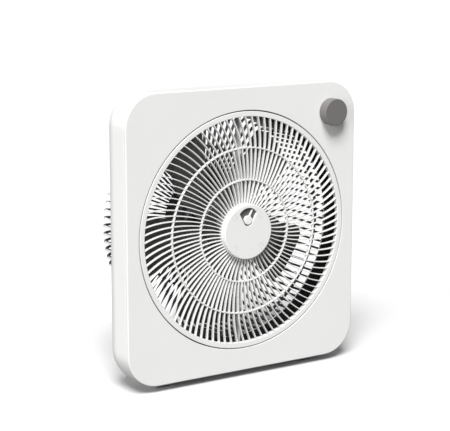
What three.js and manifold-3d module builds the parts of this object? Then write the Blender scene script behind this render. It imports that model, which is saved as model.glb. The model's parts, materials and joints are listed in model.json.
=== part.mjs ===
// Box fan with a turning front grille. Millimetres, +Z up, front towards -Y.
//
// Everything is built about the fan's axis: X = Z = 0 is the axis, Y = 0 is the face of the front
// panel and Y grows towards the back. The last group moves that frame so that the origin is the
// middle of the footprint, on the surface that the fan stands on.

import * as THREE from 'three';
import { mergeVertices } from 'three/addons/utils/BufferGeometryUtils.js';
import Module from 'manifold-3d';

// ---------------------------------------------------------------- driving dimensions

const GAP = 0.3; // between touching pieces
const OVERSHOOT = 1; // how far a cutter runs past the face it cuts

const BODY = { width: 360, height: 386, cornerRadius: 45, wall: 2.6 };
const BACK_ROUND = { start: 32, radius: 44, angle: 36, facets: 4 };
const BACK_WALL = { front: 28, back: 30.6, opening: 153 };
const PANEL = { thickness: 3, rimDepth: 5, lipDepth: 9, lipWall: 2.1 };
const OPENING = { radius: 162.4, collarWall: 2.6, collarDepth: 10 };

const GRILLE = {
  radius: 160.8,
  rimInner: 154,
  ringWidth: 2.2,
  outerRing: 112.5,
  innerRing: 69.3,
  hubRadius: 37.2,
  depth: 7,
  ribWidth: 1.8,
  outerRibs: 48,
  innerRibs: 30,
};

const CAP = { radius: 37.2, height: 8, wall: 2, recessDepth: 4, floor: 1.5 };
const LEVER = {
  offset: 16,
  bossRadius: 6,
  armLength: 15.2,
  armWidth: 2.2,
  armDepth: 2.4,
  pinRadius: 1.5,
  fingerLength: 10,
  fingerThickness: 0.8,
  restAngle: 29,
  sectorRadius: 16.8,
  sectorHalfAngle: 56,
  heelRadius: 8,
};
const SNAP_TAB = { radius: 33, width: 6, length: 7, depth: 0.6 };

const PIVOT = { radius: 4, headRadius: 5.5, headHeight: 2.6, threadRadius: 2.7, threadEnd: 20 };
const BUSHING = { radius: 6, flangeRadius: 9, flange: 1.2 };
const BRIDGE = { thickness: 3, front: 12, back: 24, bossRadius: 9, bossFront: 10, screwHeight: 173, strapLength: 334.8 };
const BRIDGE_FOOT = { width: 16, length: 20, inward: 3, thickness: 2, bossRadius: 6, screwTip: 6 };

const BLADE = {
  count: 5,
  tipRadius: 143,
  rootRadius: 26,
  hubRadius: 30,
  hubFront: 58,
  hubBack: 80,
  hubBevel: 3,
  hubWall: 3,
  bossRadius: 9,
  leadAngle: 99,
  rootSpan: 68,
  tipSpan: 38,
  spanReach: 0.7,
  leadDepth: 80,
  leadFall: 2,
  trailDepth: 60,
  trailRise: 4,
  thickness: 2.4,
};
const SPINNER = { radius: 13, front: 47, faceRadius: 7, nose: 4, taper: 2, collarRadius: 9 };

const SHAFT = { radius: 4, front: 59, back: 112, threadRadius: 3, threadFront: 51 };
const DRIVE_PIN = { radius: 1.2, length: 15, depth: 78, slotDepth: 5 };
const MOTOR = { radius: 41, wall: 2.5, front: 84, stackFront: 92, stackBack: 103, back: 114.7 };
const BEARING = { radius: 7, housingRadius: 10, overhang: 2, length: 8 };
const STATOR = { bore: 22, teeth: 8, toothGap: 5, slotDepth: 12 };
const ROTOR = { radius: 21.4, length: 10 };
const WINDING = { inner: 25, outer: 36, length: 5 };

const DRUM = {
  flangeRadius: 166,
  flange: 2.7,
  radius: 157,
  wall: 2.6,
  back: 118,
  corner: 14,
  plateRadius: 56,
  centreHole: 10,
  backRing: 100,
  sideRing: 56,
  ringWidth: 4,
  slotFront: 34.2,
  ribs: 24,
  ribWidth: 5,
};
const MOTOR_COVER = { radius: 50, wall: 2, back: 128, bevel: 8, crown: 1, shoulder: 6 };

const KNOB = { x: 138.2, z: 151.9, radius: 18.25, height: 15.2, bevel: 0.8, wall: 2.8, face: 4 };
const SWITCH = { size: 24, depth: 16, neckRadius: 4.7, neckFront: 2.2, spindle: 3, nutRadius: 8 };
const SPINDLE_BACK = 8;

const FOOT = {
  x: 115,
  width: 28,
  front: 18,
  back: 108,
  height: 8,
  toeBevel: 2,
  wrapAngle: 34,
  shoulderLength: 12,
  shoulderDrop: 2,
  heelHeight: 4,
};
const PAD = { width: 22, length: 14, height: 1.7, toeInset: 4, heelInset: 3 };
const FLOOR_GAP = FOOT.height + GAP + PAD.height;

const SCREW = { shank: 1.5, head: 3.6, headHeight: 2.4, clearance: 0.3 };
const CASE_SCREW = { x: 160, z: 118, tubeRadius: 6.5, bossRadius: 5, joint: 20, seat: 24, tip: 8 };
const GRILLE_SCREW = { radius: 161.2, firstAngle: 22.5, tip: 24, bossRadius: 4.5, bossFront: 22 };
const MOTOR_SCREW = { radius: 30, firstAngle: 45, tip: 111, postFront: 109 };

const GROMMET = { x: -110, z: -140, bore: 3, radius: 4.7, flangeRadius: 7, flange: 2.2, bevel: 1 };
const CAPACITOR = { x: 134, z: -159, width: 32, height: 20, front: 9, back: 27 };
const LEAD = { radius: 2.2, angle: 47.7, hole: 3.8, holeRadius: 172, steps: 32, sides: 8 };

const FINE = 48; // facets round a large circle
const MEDIUM = 20; // facets round the motor and the knob
const COARSE = 12; // facets round a small one

// ---------------------------------------------------------------- finishes

const finish = (color, roughness, metalness = 0) =>
  new THREE.MeshStandardMaterial({ color, roughness, metalness });

const whiteShell = finish(0xf1f1ef, 0.42);
const whitePanel = finish(0xe9e9e8, 0.5);
const greyKnob = finish(0x706c6c, 0.55);
const greyBlade = finish(0x6a6868, 0.35);
const blackRubber = finish(0x232323, 0.9);
const blackPlastic = finish(0x2c2c2e, 0.5);
const paintedSteel = finish(0xdededb, 0.5);
const brightSteel = finish(0xb9bcc0, 0.3, 1);
const castAlloy = finish(0xa7a9ab, 0.45, 0.9);
const bronze = finish(0xa9793c, 0.4, 0.9);
const copper = finish(0xb3653a, 0.45, 0.8);
const lamination = finish(0x6d7074, 0.55, 0.8);

// ---------------------------------------------------------------- solids

const wasm = await Module();
wasm.setup();

const radians = THREE.MathUtils.degToRad;
const polar = (radius, degrees) => [
  radius * Math.cos(radians(degrees)),
  radius * Math.sin(radians(degrees)),
];

/** Merge shared vertices, drop empty triangles and turn the faces outwards. */
function closed(geometry) {
  const bare = geometry.clone();
  bare.deleteAttribute('normal');
  bare.deleteAttribute('uv');
  const merged = mergeVertices(bare, 1e-4);
  const position = merged.attributes.position;
  const corner = [0, 1, 2].map(() => new THREE.Vector3());
  const kept = [];
  let volume = 0;
  for (let i = 0; i < merged.index.count; i += 3) {
    const [a, b, c] = [0, 1, 2].map((k) => merged.index.getX(i + k));
    if (a === b || b === c || c === a) continue;
    [a, b, c].forEach((vertex, k) => corner[k].fromBufferAttribute(position, vertex));
    volume += corner[0].dot(corner[1].clone().cross(corner[2]));
    kept.push(a, b, c);
  }
  if (volume < 0) kept.reverse();
  merged.setIndex(kept);
  return merged;
}

function solid(geometry) {
  const ready = closed(geometry);
  return new wasm.Manifold(
    new wasm.Mesh({
      numProp: 3,
      vertProperties: ready.attributes.position.array,
      triVerts: new Uint32Array(ready.index.array),
    }),
  );
}

const asSolid = (piece) => (piece.isBufferGeometry ? solid(piece) : piece);
const join = (first, ...rest) => rest.reduce((sum, piece) => sum.add(asSolid(piece)), asSolid(first));
const cut = (first, ...rest) =>
  rest.reduce((sum, piece) => sum.subtract(asSolid(piece)), asSolid(first));

function geometryOf(piece) {
  if (piece.isBufferGeometry) {
    const ready = closed(piece);
    ready.computeVertexNormals();
    return ready;
  }
  const mesh = piece.getMesh();
  const geometry = new THREE.BufferGeometry();
  geometry.setAttribute('position', new THREE.BufferAttribute(new Float32Array(mesh.vertProperties), 3));
  geometry.setIndex(new THREE.BufferAttribute(new Uint32Array(mesh.triVerts), 1));
  geometry.computeVertexNormals();
  return geometry;
}

/** A body turned about the Y axis from [radius, y] points: axis to axis, or a closed loop. */
function revolve(profile, facets = COARSE) {
  const points = profile.map(([radius, y]) => new THREE.Vector2(radius, y));
  if (profile[0][0] > 0) points.push(points[0].clone());
  return new THREE.LatheGeometry(points, facets);
}

const rod = (radius, front, back, facets = COARSE) =>
  revolve([[0, front], [radius, front], [radius, back], [0, back]], facets);
const pipe = (outer, inner, front, back, facets = COARSE) =>
  revolve([[inner, front], [outer, front], [outer, back], [inner, back]], facets);
const moved = (geometry, x, z, y = 0) => geometry.translate(x, y, z);

/** An outline in X and Z, pushed out along Y. */
function prism(outline, front, back) {
  const shape =
    outline instanceof THREE.Shape
      ? outline
      : new THREE.Shape(outline.map(([x, z]) => new THREE.Vector2(x, z)));
  const options = { depth: back - front, bevelEnabled: false, curveSegments: FINE };
  return new THREE.ExtrudeGeometry(shape, options).rotateX(Math.PI / 2).translate(0, back, 0);
}

const block = (width, depth, height) => new THREE.BoxGeometry(width, depth, height);

/** The body's rounded outline, drawn in by an inset. */
function bodyOutline(inset, facets = 4) {
  const radius = BODY.cornerRadius - inset;
  const centreX = BODY.width / 2 - BODY.cornerRadius;
  const centreZ = BODY.height / 2 - BODY.cornerRadius;
  const corners = [[1, 1], [-1, 1], [-1, -1], [1, -1]];
  return corners.flatMap(([sideX, sideZ], quarter) =>
    Array.from({ length: facets + 1 }, (_, i) => {
      const [x, z] = polar(radius, 90 * (quarter + i / facets));
      return [sideX * centreX + x, sideZ * centreZ + z];
    }),
  );
}

/** A closed skin over outlines of equal point counts, one behind the other. */
function loft(sections) {
  const count = sections[0].outline.length;
  const positions = sections.flatMap(({ y, outline }) => outline.flatMap(([x, z]) => [x, y, z]));
  const last = sections.length - 1;
  const frontCentre = positions.length / 3;
  positions.push(0, sections[0].y, 0, 0, sections[last].y, 0);
  const index = [];
  for (let i = 0; i < count; i += 1) {
    const next = (i + 1) % count;
    for (let s = 0; s < last; s += 1) {
      const [a, b] = [s * count + i, s * count + next];
      index.push(a, b, b + count, a, b + count, a + count);
    }
    index.push(frontCentre, next, i, frontCentre + 1, last * count + i, last * count + next);
  }
  const geometry = new THREE.BufferGeometry();
  geometry.setAttribute('position', new THREE.Float32BufferAttribute(positions, 3));
  geometry.setIndex(index);
  return geometry;
}

const quarterTurns = (count, firstAngle) =>
  Array.from({ length: count }, (_, i) => firstAngle + (360 / count) * i);

// ---------------------------------------------------------------- nodes

const fan = new THREE.Group();

function add(name, piece, material, parent = fan) {
  const mesh = new THREE.Mesh(geometryOf(piece), material);
  mesh.name = name;
  parent.add(mesh);
}

/** A screw driven along -Y: head at the back, shank towards the front. */
function screwBody(seat, tip) {
  return revolve(
    [
      [0, tip],
      [SCREW.shank, tip],
      [SCREW.shank, seat],
      [SCREW.head, seat],
      [SCREW.head, seat + SCREW.headHeight],
      [0, seat + SCREW.headHeight],
    ],
    8,
  );
}

const screwHole = (front, back) => rod(SCREW.shank + SCREW.clearance, front, back, 8);
const corners = [[1, 1], [-1, 1], [-1, -1], [1, -1]];

// ---------------------------------------------------------------- casing

function frontFrame() {
  const lipInset = BODY.wall + GAP;
  const inner = lipInset + PANEL.lipWall;
  let frame = join(
    prism(bodyOutline(0), 0, PANEL.rimDepth),
    prism(bodyOutline(lipInset), PANEL.rimDepth - OVERSHOOT, PANEL.lipDepth),
  );
  frame = cut(frame, prism(bodyOutline(inner), PANEL.thickness, PANEL.lipDepth + OVERSHOOT));
  const collar = pipe(
    OPENING.radius + OPENING.collarWall,
    OPENING.radius - OVERSHOOT,
    PANEL.thickness - OVERSHOOT,
    OPENING.collarDepth,
    FINE,
  );
  frame = join(frame, collar);
  frame = cut(frame, rod(OPENING.radius, -OVERSHOOT, OPENING.collarDepth + OVERSHOOT, FINE));
  const root = PANEL.thickness - OVERSHOOT;
  for (const [sideX, sideZ] of corners) {
    const [x, z] = [sideX * CASE_SCREW.x, sideZ * CASE_SCREW.z];
    const boss = moved(rod(CASE_SCREW.bossRadius, root, CASE_SCREW.joint - GAP), x, z);
    const hole = moved(screwHole(CASE_SCREW.tip - GAP, CASE_SCREW.joint + OVERSHOOT), x, z);
    frame = cut(join(frame, boss), hole);
  }
  const bridgeSeat = BRIDGE.front + BRIDGE_FOOT.thickness - GAP;
  for (const side of [1, -1]) {
    const z = side * BRIDGE.screwHeight;
    const boss = moved(rod(BRIDGE_FOOT.bossRadius, root, bridgeSeat), 0, z);
    const hole = moved(screwHole(root + 2 * OVERSHOOT + GAP, bridgeSeat + OVERSHOOT), 0, z);
    frame = cut(join(frame, boss), hole);
  }
  const neck = moved(rod(SWITCH.neckRadius + GAP, -OVERSHOOT, root + 2 * OVERSHOOT), KNOB.x, KNOB.z);
  return cut(frame, neck);
}

/** The shell's straight sides and the start of its round; run out straight behind by an overrun. */
function shellForm(inset, front, overrun = 0) {
  const { start, radius, angle, facets } = BACK_ROUND;
  const rounds = Array.from({ length: facets + 1 }, (_, i) => {
    const turn = radians((angle * i) / facets);
    const outline = bodyOutline(inset + (radius - inset) * (1 - Math.cos(turn)));
    return { y: start + (radius - inset) * Math.sin(turn), outline };
  });
  const sections = [{ y: front, outline: bodyOutline(inset) }, ...rounds];
  if (overrun) sections.push({ y: rounds.at(-1).y + overrun, outline: rounds.at(-1).outline });
  return loft(sections);
}

/** From the motor's side, out between two drum ribs and forward through the back wall. */
function leadPath() {
  const along = (radius, y) => {
    const [x, z] = polar(radius, LEAD.angle);
    return new THREE.Vector3(x, y, z);
  };
  const switchBack = PANEL.thickness + GAP + SWITCH.depth;
  return new THREE.CatmullRomCurve3([
    along(MOTOR.radius + LEAD.radius + 1, 105),
    along(60, 108),
    along(90, 109),
    along(120, 108),
    along(146, 100),
    along(162, 86),
    along(169.5, 64),
    along(LEAD.holeRadius, 44),
    along(LEAD.holeRadius, BACK_WALL.back + 4),
    along(LEAD.holeRadius, BACK_WALL.front + 1),
    along(LEAD.holeRadius + 2.5, 24.8),
    along(184, 23.6),
    along(198, 23),
    along(205, switchBack + 2 * OVERSHOOT),
  ]);
}

function rearShell() {
  const front = PANEL.rimDepth + GAP;
  const { front: wallFront, back: wallBack, opening } = BACK_WALL;
  let shell = cut(shellForm(0, front), shellForm(BODY.wall, front - OVERSHOOT, BODY.wall));
  const wall = cut(
    prism(bodyOutline(BODY.wall / 2), wallFront, wallBack),
    rod(opening, wallFront - OVERSHOOT, wallBack + OVERSHOOT, FINE),
  );
  shell = join(shell, wall);
  for (const [sideX, sideZ] of corners) {
    const [x, z] = [sideX * CASE_SCREW.x, sideZ * CASE_SCREW.z];
    const tube = moved(rod(CASE_SCREW.tubeRadius, CASE_SCREW.joint, wallBack), x, z);
    const sink = moved(rod(SCREW.head + GAP, CASE_SCREW.seat, wallBack + OVERSHOOT), x, z);
    const hole = moved(screwHole(CASE_SCREW.joint - OVERSHOOT, wallBack), x, z);
    shell = cut(join(shell, tube), sink, hole);
  }
  for (const angle of quarterTurns(4, GRILLE_SCREW.firstAngle)) {
    const [x, z] = polar(GRILLE_SCREW.radius, angle);
    const boss = moved(rod(GRILLE_SCREW.bossRadius, GRILLE_SCREW.bossFront, wallBack), x, z);
    const hole = moved(screwHole(GRILLE_SCREW.tip - GAP, wallBack + OVERSHOOT), x, z);
    shell = cut(join(shell, boss), hole);
  }
  const through = [wallFront - OVERSHOOT, wallBack + OVERSHOOT];
  const inlet = moved(rod(GROMMET.radius + GAP, ...through), GROMMET.x, GROMMET.z);
  const leadHole = moved(rod(LEAD.hole, ...through), ...polar(LEAD.holeRadius, LEAD.angle));
  return cut(shell, inlet, leadHole);
}

/** Ribs and gaps of the rear drum, cut as wedges that leave straight ribs. */
function drumSlot(inner, outer, angle, front, back = DRUM.back + OVERSHOOT) {
  const pitch = 360 / DRUM.ribs;
  const edge = (radius, side) => {
    const rib = THREE.MathUtils.radToDeg(Math.asin(DRUM.ribWidth / 2 / radius));
    return polar(radius, angle + side * (pitch / 2 - rib));
  };
  const outline = [edge(inner, -1), edge(outer, -1), edge(outer, 1), edge(inner, 1)];
  return prism(outline, front, back);
}

function rearGrille() {
  const front = BACK_WALL.back + GAP;
  const inside = DRUM.radius - DRUM.wall;
  const bend = (radius) =>
    [0, 45, 90].map((degrees) => [
      DRUM.radius - DRUM.corner + radius * Math.cos(radians(degrees)),
      DRUM.back - DRUM.corner + radius * Math.sin(radians(degrees)),
    ]);
  const profile = [
    [inside, front],
    [DRUM.flangeRadius, front],
    [DRUM.flangeRadius, front + DRUM.flange],
    [DRUM.radius, front + DRUM.flange],
    ...bend(DRUM.corner),
    [DRUM.centreHole, DRUM.back],
    [DRUM.centreHole, DRUM.back - DRUM.wall],
    ...bend(DRUM.corner - DRUM.wall).reverse(),
  ];
  let drum = solid(revolve(profile, DRUM.ribs));
  const pitch = 360 / DRUM.ribs;
  const ringHalf = DRUM.ringWidth / 2;
  for (const angle of quarterTurns(DRUM.ribs, pitch / 2)) {
    const plateSlot = drumSlot(DRUM.plateRadius, DRUM.backRing - ringHalf, angle, DRUM.back - DRUM.corner);
    const [ringEdge, rimEdge] = [DRUM.backRing + ringHalf, DRUM.flangeRadius];
    const frontSlot = drumSlot(ringEdge, rimEdge, angle, DRUM.slotFront, DRUM.sideRing - ringHalf);
    const cornerSlot = drumSlot(ringEdge, rimEdge, angle, DRUM.sideRing + ringHalf);
    drum = cut(drum, plateSlot, frontSlot, cornerSlot);
  }
  for (const angle of quarterTurns(4, GRILLE_SCREW.firstAngle)) {
    const [x, z] = polar(GRILLE_SCREW.radius, angle);
    const hole = screwHole(front - OVERSHOOT, front + DRUM.flange + OVERSHOOT);
    drum = cut(drum, moved(hole, x, z));
  }
  for (const angle of quarterTurns(4, MOTOR_SCREW.firstAngle)) {
    const [x, z] = polar(MOTOR_SCREW.radius, angle);
    const hole = screwHole(DRUM.back - DRUM.wall - OVERSHOOT, DRUM.back + OVERSHOOT);
    drum = cut(drum, moved(hole, x, z));
  }
  return drum;
}

function motorCover() {
  const front = DRUM.back + GAP;
  const { radius, wall, back, bevel, crown, shoulder } = MOTOR_COVER;
  return revolve(
    [
      [0, back],
      [radius - bevel, back - crown],
      [radius, back - shoulder],
      [radius, front],
      [radius - wall, front],
      [radius - wall, back - shoulder - crown],
      [radius - bevel - crown, back - crown - wall],
      [0, back - wall],
    ],
    MEDIUM,
  );
}

/** A foot follows the shell's flat bottom and the start of its round back, then runs out behind. */
function foot() {
  const under = -BODY.height / 2;
  const { start, radius } = BACK_ROUND;
  const wrap = radius + GAP;
  const rounds = Array.from({ length: 5 }, (_, i) => {
    const angle = radians((FOOT.wrapAngle * i) / 4);
    return [start + wrap * Math.sin(angle), under + radius - wrap * Math.cos(angle)];
  });
  const profile = [
    [FOOT.front, under - GAP],
    ...rounds,
    [rounds.at(-1)[0] + FOOT.shoulderLength, rounds.at(-1)[1] - FOOT.shoulderDrop],
    [FOOT.back, under - GAP - FOOT.heelHeight],
    [FOOT.back, under - GAP - FOOT.height],
    [FOOT.front + FOOT.toeBevel, under - GAP - FOOT.height],
    [FOOT.front, under - GAP - FOOT.height + FOOT.toeBevel],
  ];
  const shape = new THREE.Shape(profile.map(([y, z]) => new THREE.Vector2(y, z)));
  return new THREE.ExtrudeGeometry(shape, { depth: FOOT.width, bevelEnabled: false })
    .rotateX(Math.PI / 2)
    .rotateZ(Math.PI / 2)
    .translate(-FOOT.width / 2, 0, 0);
}

add('front_frame', frontFrame(), whitePanel);
add('rear_shell', rearShell(), whiteShell);
add('rear_grille', rearGrille(), whiteShell);
add('motor_cover', motorCover(), whiteShell);

const padBottom = -BODY.height / 2 - FLOOR_GAP;
const padPlaces = [
  ['foot_pad_1', -1, FOOT.front + PAD.toeInset],
  ['foot_pad_2', 1, FOOT.front + PAD.toeInset],
  ['foot_pad_3', -1, FOOT.back - PAD.length - PAD.heelInset],
  ['foot_pad_4', 1, FOOT.back - PAD.length - PAD.heelInset],
];
for (const [name, side] of [['foot_left', -1], ['foot_right', 1]]) {
  add(name, moved(foot(), side * FOOT.x, 0), whiteShell);
}
for (const [name, side, front] of padPlaces) {
  const pad = block(PAD.width, PAD.length, PAD.height);
  add(name, moved(pad, side * FOOT.x, padBottom + PAD.height / 2, front + PAD.length / 2), blackRubber);
}

const grommetFace = BACK_WALL.back + GAP;
const grommet = revolve([
  [GROMMET.bore, BACK_WALL.front],
  [GROMMET.radius, BACK_WALL.front],
  [GROMMET.radius, grommetFace],
  [GROMMET.flangeRadius, grommetFace],
  [GROMMET.flangeRadius - GROMMET.bevel, grommetFace + GROMMET.flange],
  [GROMMET.bore, grommetFace + GROMMET.flange],
]);
add('cord_grommet', moved(grommet, GROMMET.x, GROMMET.z), blackRubber);

// ---------------------------------------------------------------- turning grille

/** Ribs lean back near the hub, then sweep forward in a growing curve, in degrees of turn. */
function sweep(radius) {
  if (radius < GRILLE.innerRing) return 0.0079 * Math.max(0, 56 - radius) ** 2 - 1.35;
  const out = radius - GRILLE.innerRing;
  return 0.031 * out + 0.00069 * out ** 2 - 0.18;
}

function slotsBetween(inner, outer, count) {
  const pitch = 360 / count;
  const edge = (radius, rib, side) => {
    const half = THREE.MathUtils.radToDeg(Math.asin(GRILLE.ribWidth / 2 / radius));
    return new THREE.Vector2(...polar(radius, rib * pitch + sweep(radius) + side * half));
  };
  return Array.from({ length: count }, (_, rib) => {
    const corner = [edge(inner, rib, 1), edge(outer, rib, 1)];
    const far = [edge(outer, rib + 1, -1), edge(inner, rib + 1, -1)];
    return new THREE.Path([...corner, ...far]);
  });
}

function frontGrille() {
  const disc = new THREE.Shape(
    quarterTurns(2 * FINE, 0).map((angle) => new THREE.Vector2(...polar(GRILLE.radius, angle))),
  );
  const half = GRILLE.ringWidth / 2;
  const { outerRing, innerRing, rimInner, hubRadius } = GRILLE;
  disc.holes.push(
    ...slotsBetween(outerRing + half, rimInner, GRILLE.outerRibs),
    ...slotsBetween(innerRing + half, outerRing - half, GRILLE.outerRibs),
    ...slotsBetween(hubRadius, innerRing - half, GRILLE.innerRibs),
  );
  const bore = rod(BUSHING.radius + GAP, -OVERSHOOT, GRILLE.depth + OVERSHOOT);
  return cut(prism(disc, 0, GRILLE.depth), bore);
}

/** The fan-shaped recess: an arc above the lever's pivot, straight flanks, and a round heel. */
function recessOutline(grow) {
  const { offset, sectorRadius, sectorHalfAngle, heelRadius } = LEVER;
  const arc = Array.from({ length: 9 }, (_, i) => {
    const [x, z] = polar(sectorRadius + grow, 90 + sectorHalfAngle * (i / 4 - 1));
    return [x, offset + z];
  });
  const heel = Array.from({ length: 7 }, (_, i) => {
    const [x, z] = polar(heelRadius + grow, 180 + 20 + (140 / 6) * i);
    return [x, offset + z];
  });
  return [...arc, ...heel];
}

function hubCap() {
  const front = -CAP.height;
  const { radius, wall } = CAP;
  const cup = revolve(
    [
      [0, front],
      [radius - 1, front],
      [radius, front + 1],
      [radius, -GAP],
      [radius - wall, -GAP],
      [radius - wall, front + wall],
      [0, front + wall],
    ],
    2 * MEDIUM,
  );
  const floorFront = front + CAP.recessDepth;
  let cap = join(cup, prism(recessOutline(1.2), front + OVERSHOOT / 2, floorFront + CAP.floor));
  cap = cut(cap, prism(recessOutline(0), front - OVERSHOOT, floorFront));
  const pivotHole = rod(LEVER.pinRadius + GAP, floorFront - OVERSHOOT, floorFront + CAP.floor + OVERSHOOT, 8);
  cap = cut(cap, moved(pivotHole, 0, LEVER.offset));
  for (const angle of quarterTurns(4, 45)) {
    const pocket = block(SNAP_TAB.length, 2 * SNAP_TAB.depth, SNAP_TAB.width)
      .translate(SNAP_TAB.radius - SNAP_TAB.length / 2, front, 0)
      .rotateY(radians(angle));
    cap = cut(cap, pocket);
  }
  return cap;
}

/** Boss and arm in front of the cap's floor, and a brake finger behind it. */
function grilleLever() {
  const { armWidth, armDepth, armLength, fingerThickness, fingerLength } = LEVER;
  const front = -CAP.height;
  const floorFront = front + CAP.recessDepth;
  const behind = floorFront + CAP.floor + GAP;
  const lever = join(
    rod(LEVER.bossRadius, front, floorFront - GAP, 16),
    rod(LEVER.pinRadius, floorFront - OVERSHOOT, behind + fingerThickness, 8),
    block(armWidth, armDepth, armLength).translate(0, floorFront - GAP - armDepth / 2, armLength / 2),
    block(2 * LEVER.pinRadius, fingerThickness, fingerLength).translate(
      0,
      behind + fingerThickness / 2,
      -fingerLength / 2,
    ),
  );
  return geometryOf(lever).rotateY(radians(LEVER.restAngle)).translate(0, 0, LEVER.offset);
}

const bushing = revolve([
  [PIVOT.radius + GAP, 0],
  [BUSHING.radius, 0],
  [BUSHING.radius, GRILLE.depth + GAP],
  [BUSHING.flangeRadius, GRILLE.depth + GAP],
  [BUSHING.flangeRadius, GRILLE.depth + GAP + BUSHING.flange],
  [PIVOT.radius + GAP, GRILLE.depth + GAP + BUSHING.flange],
]);

const washerFront = -1.1;
const headBack = washerFront - GAP;
const shoulderBack = BRIDGE.bossFront - GAP;
const pivotBolt = revolve([
  [0, headBack - PIVOT.headHeight],
  [PIVOT.headRadius, headBack - PIVOT.headHeight],
  [PIVOT.headRadius, headBack],
  [PIVOT.radius, headBack],
  [PIVOT.radius, shoulderBack],
  [PIVOT.threadRadius, shoulderBack],
  [PIVOT.threadRadius, PIVOT.threadEnd],
  [0, PIVOT.threadEnd],
]);

function grilleBridge() {
  const { thickness, front, back, bossRadius, bossFront, screwHeight, strapLength } = BRIDGE;
  const { width, length, inward, thickness: plateThickness } = BRIDGE_FOOT;
  const strap = block(thickness, back - front - plateThickness, strapLength)
    .translate(0, (front + back + plateThickness) / 2, 0);
  let bridge = join(strap, rod(bossRadius, bossFront, back));
  for (const side of [1, -1]) {
    const z = side * screwHeight;
    const plate = block(width, plateThickness, length)
      .translate(0, front + 1.5 * plateThickness, z - side * inward);
    const hole = moved(screwHole(front, back), 0, z);
    bridge = cut(join(bridge, plate), hole);
  }
  return cut(bridge, rod(PIVOT.threadRadius + GAP, bossFront - OVERSHOOT, PIVOT.threadEnd + GAP));
}

add('front_grille', frontGrille(), whitePanel);
add('hub_cap', hubCap(), whitePanel);
add('grille_lever', grilleLever(), whiteShell);
add('grille_bushing', bushing, bronze);
add('pivot_washer', pipe(BUSHING.flangeRadius - 1, PIVOT.radius + GAP, washerFront, -GAP), brightSteel);
add('pivot_bolt', pivotBolt, brightSteel);
add('grille_bridge', grilleBridge(), paintedSteel);
const bridgeSeat = BRIDGE.front + 2 * BRIDGE_FOOT.thickness + GAP;
for (const [name, side] of [['bridge_screw_top', 1], ['bridge_screw_bottom', -1]]) {
  const screw = screwBody(bridgeSeat, BRIDGE_FOOT.screwTip);
  add(name, moved(screw, 0, side * BRIDGE.screwHeight), brightSteel);
}

// ---------------------------------------------------------------- fan blade and motor

/** One twisted blade: leading edge radial and deep, trailing edge swept back and shallow. */
function blade() {
  const stations = 5;
  const chordPoints = 3;
  const positions = [];
  const reach = BLADE.tipRadius - BLADE.rootRadius;
  for (const side of [-1, 1]) {
    for (let s = 0; s < stations; s += 1) {
      const out = s / (stations - 1);
      const narrowing = Math.min(out / BLADE.spanReach, 1);
      const span = THREE.MathUtils.lerp(BLADE.rootSpan, BLADE.tipSpan, narrowing);
      for (let c = 0; c < chordPoints; c += 1) {
        const along = c / (chordPoints - 1);
        const [x, z] = polar(BLADE.rootRadius + reach * out, BLADE.leadAngle + span * along);
        const lead = BLADE.leadDepth - BLADE.leadFall * out;
        const y = THREE.MathUtils.lerp(lead, BLADE.trailDepth + BLADE.trailRise * out, along);
        positions.push(x, y + (side * BLADE.thickness) / 2, z);
      }
    }
  }
  const back = stations * chordPoints;
  const at = (s, c) => s * chordPoints + c;
  const index = [];
  const quad = (a, b, c, d) => index.push(a, b, c, a, c, d);
  for (let s = 0; s < stations - 1; s += 1) {
    for (let c = 0; c < chordPoints - 1; c += 1) {
      const [a, b, d, e] = [at(s, c), at(s, c + 1), at(s + 1, c + 1), at(s + 1, c)];
      quad(a, b, d, e);
      quad(back + a, back + e, back + d, back + b);
    }
    quad(at(s, 0), at(s + 1, 0), back + at(s + 1, 0), back + at(s, 0));
    const c = chordPoints - 1;
    quad(at(s + 1, c), at(s, c), back + at(s, c), back + at(s + 1, c));
  }
  for (let c = 0; c < chordPoints - 1; c += 1) {
    quad(at(0, c + 1), at(0, c), back + at(0, c), back + at(0, c + 1));
    const s = stations - 1;
    quad(at(s, c), at(s, c + 1), back + at(s, c + 1), back + at(s, c));
  }
  const geometry = new THREE.BufferGeometry();
  geometry.setAttribute('position', new THREE.Float32BufferAttribute(positions, 3));
  geometry.setIndex(index);
  return geometry;
}

function fanBlade() {
  const { hubRadius, hubFront, hubBack, hubBevel, hubWall, bossRadius } = BLADE;
  const wheel = solid(
    revolve(
      [
        [SHAFT.radius + GAP, hubFront],
        [hubRadius - hubBevel, hubFront],
        [hubRadius, hubFront + hubBevel],
        [hubRadius, hubBack],
        [hubRadius - hubWall, hubBack],
        [hubRadius - hubWall, hubFront + hubWall],
        [bossRadius, hubFront + hubWall],
        [bossRadius, hubBack],
        [SHAFT.radius + GAP, hubBack],
      ],
      MEDIUM,
    ),
  );
  const bladeSolid = cut(blade(), rod(hubRadius - hubWall / 2, 0, MOTOR.back, MEDIUM));
  const rotor = quarterTurns(BLADE.count, 0).reduce(
    (sum, angle) => sum.add(bladeSolid.rotate([0, angle, 0])),
    wheel,
  );
  const slotRadius = DRIVE_PIN.radius + GAP;
  const slot = block(DRIVE_PIN.length + 2 * OVERSHOOT, DRIVE_PIN.slotDepth, 2 * slotRadius);
  return cut(rotor, slot.translate(0, DRIVE_PIN.depth + DRIVE_PIN.slotDepth / 2 - slotRadius, 0));
}

const hubFace = BLADE.hubFront - GAP;
const spinner = revolve(
  [
    [0, SPINNER.front],
    [SPINNER.faceRadius, SPINNER.front],
    [SPINNER.radius, SPINNER.front + SPINNER.nose],
    [SPINNER.radius, hubFace - SPINNER.taper],
    [SPINNER.collarRadius, hubFace],
    [SHAFT.threadRadius + GAP, hubFace],
    [SHAFT.threadRadius + GAP, SHAFT.threadFront - GAP],
    [0, SHAFT.threadFront - GAP],
  ],
  18,
);

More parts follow.
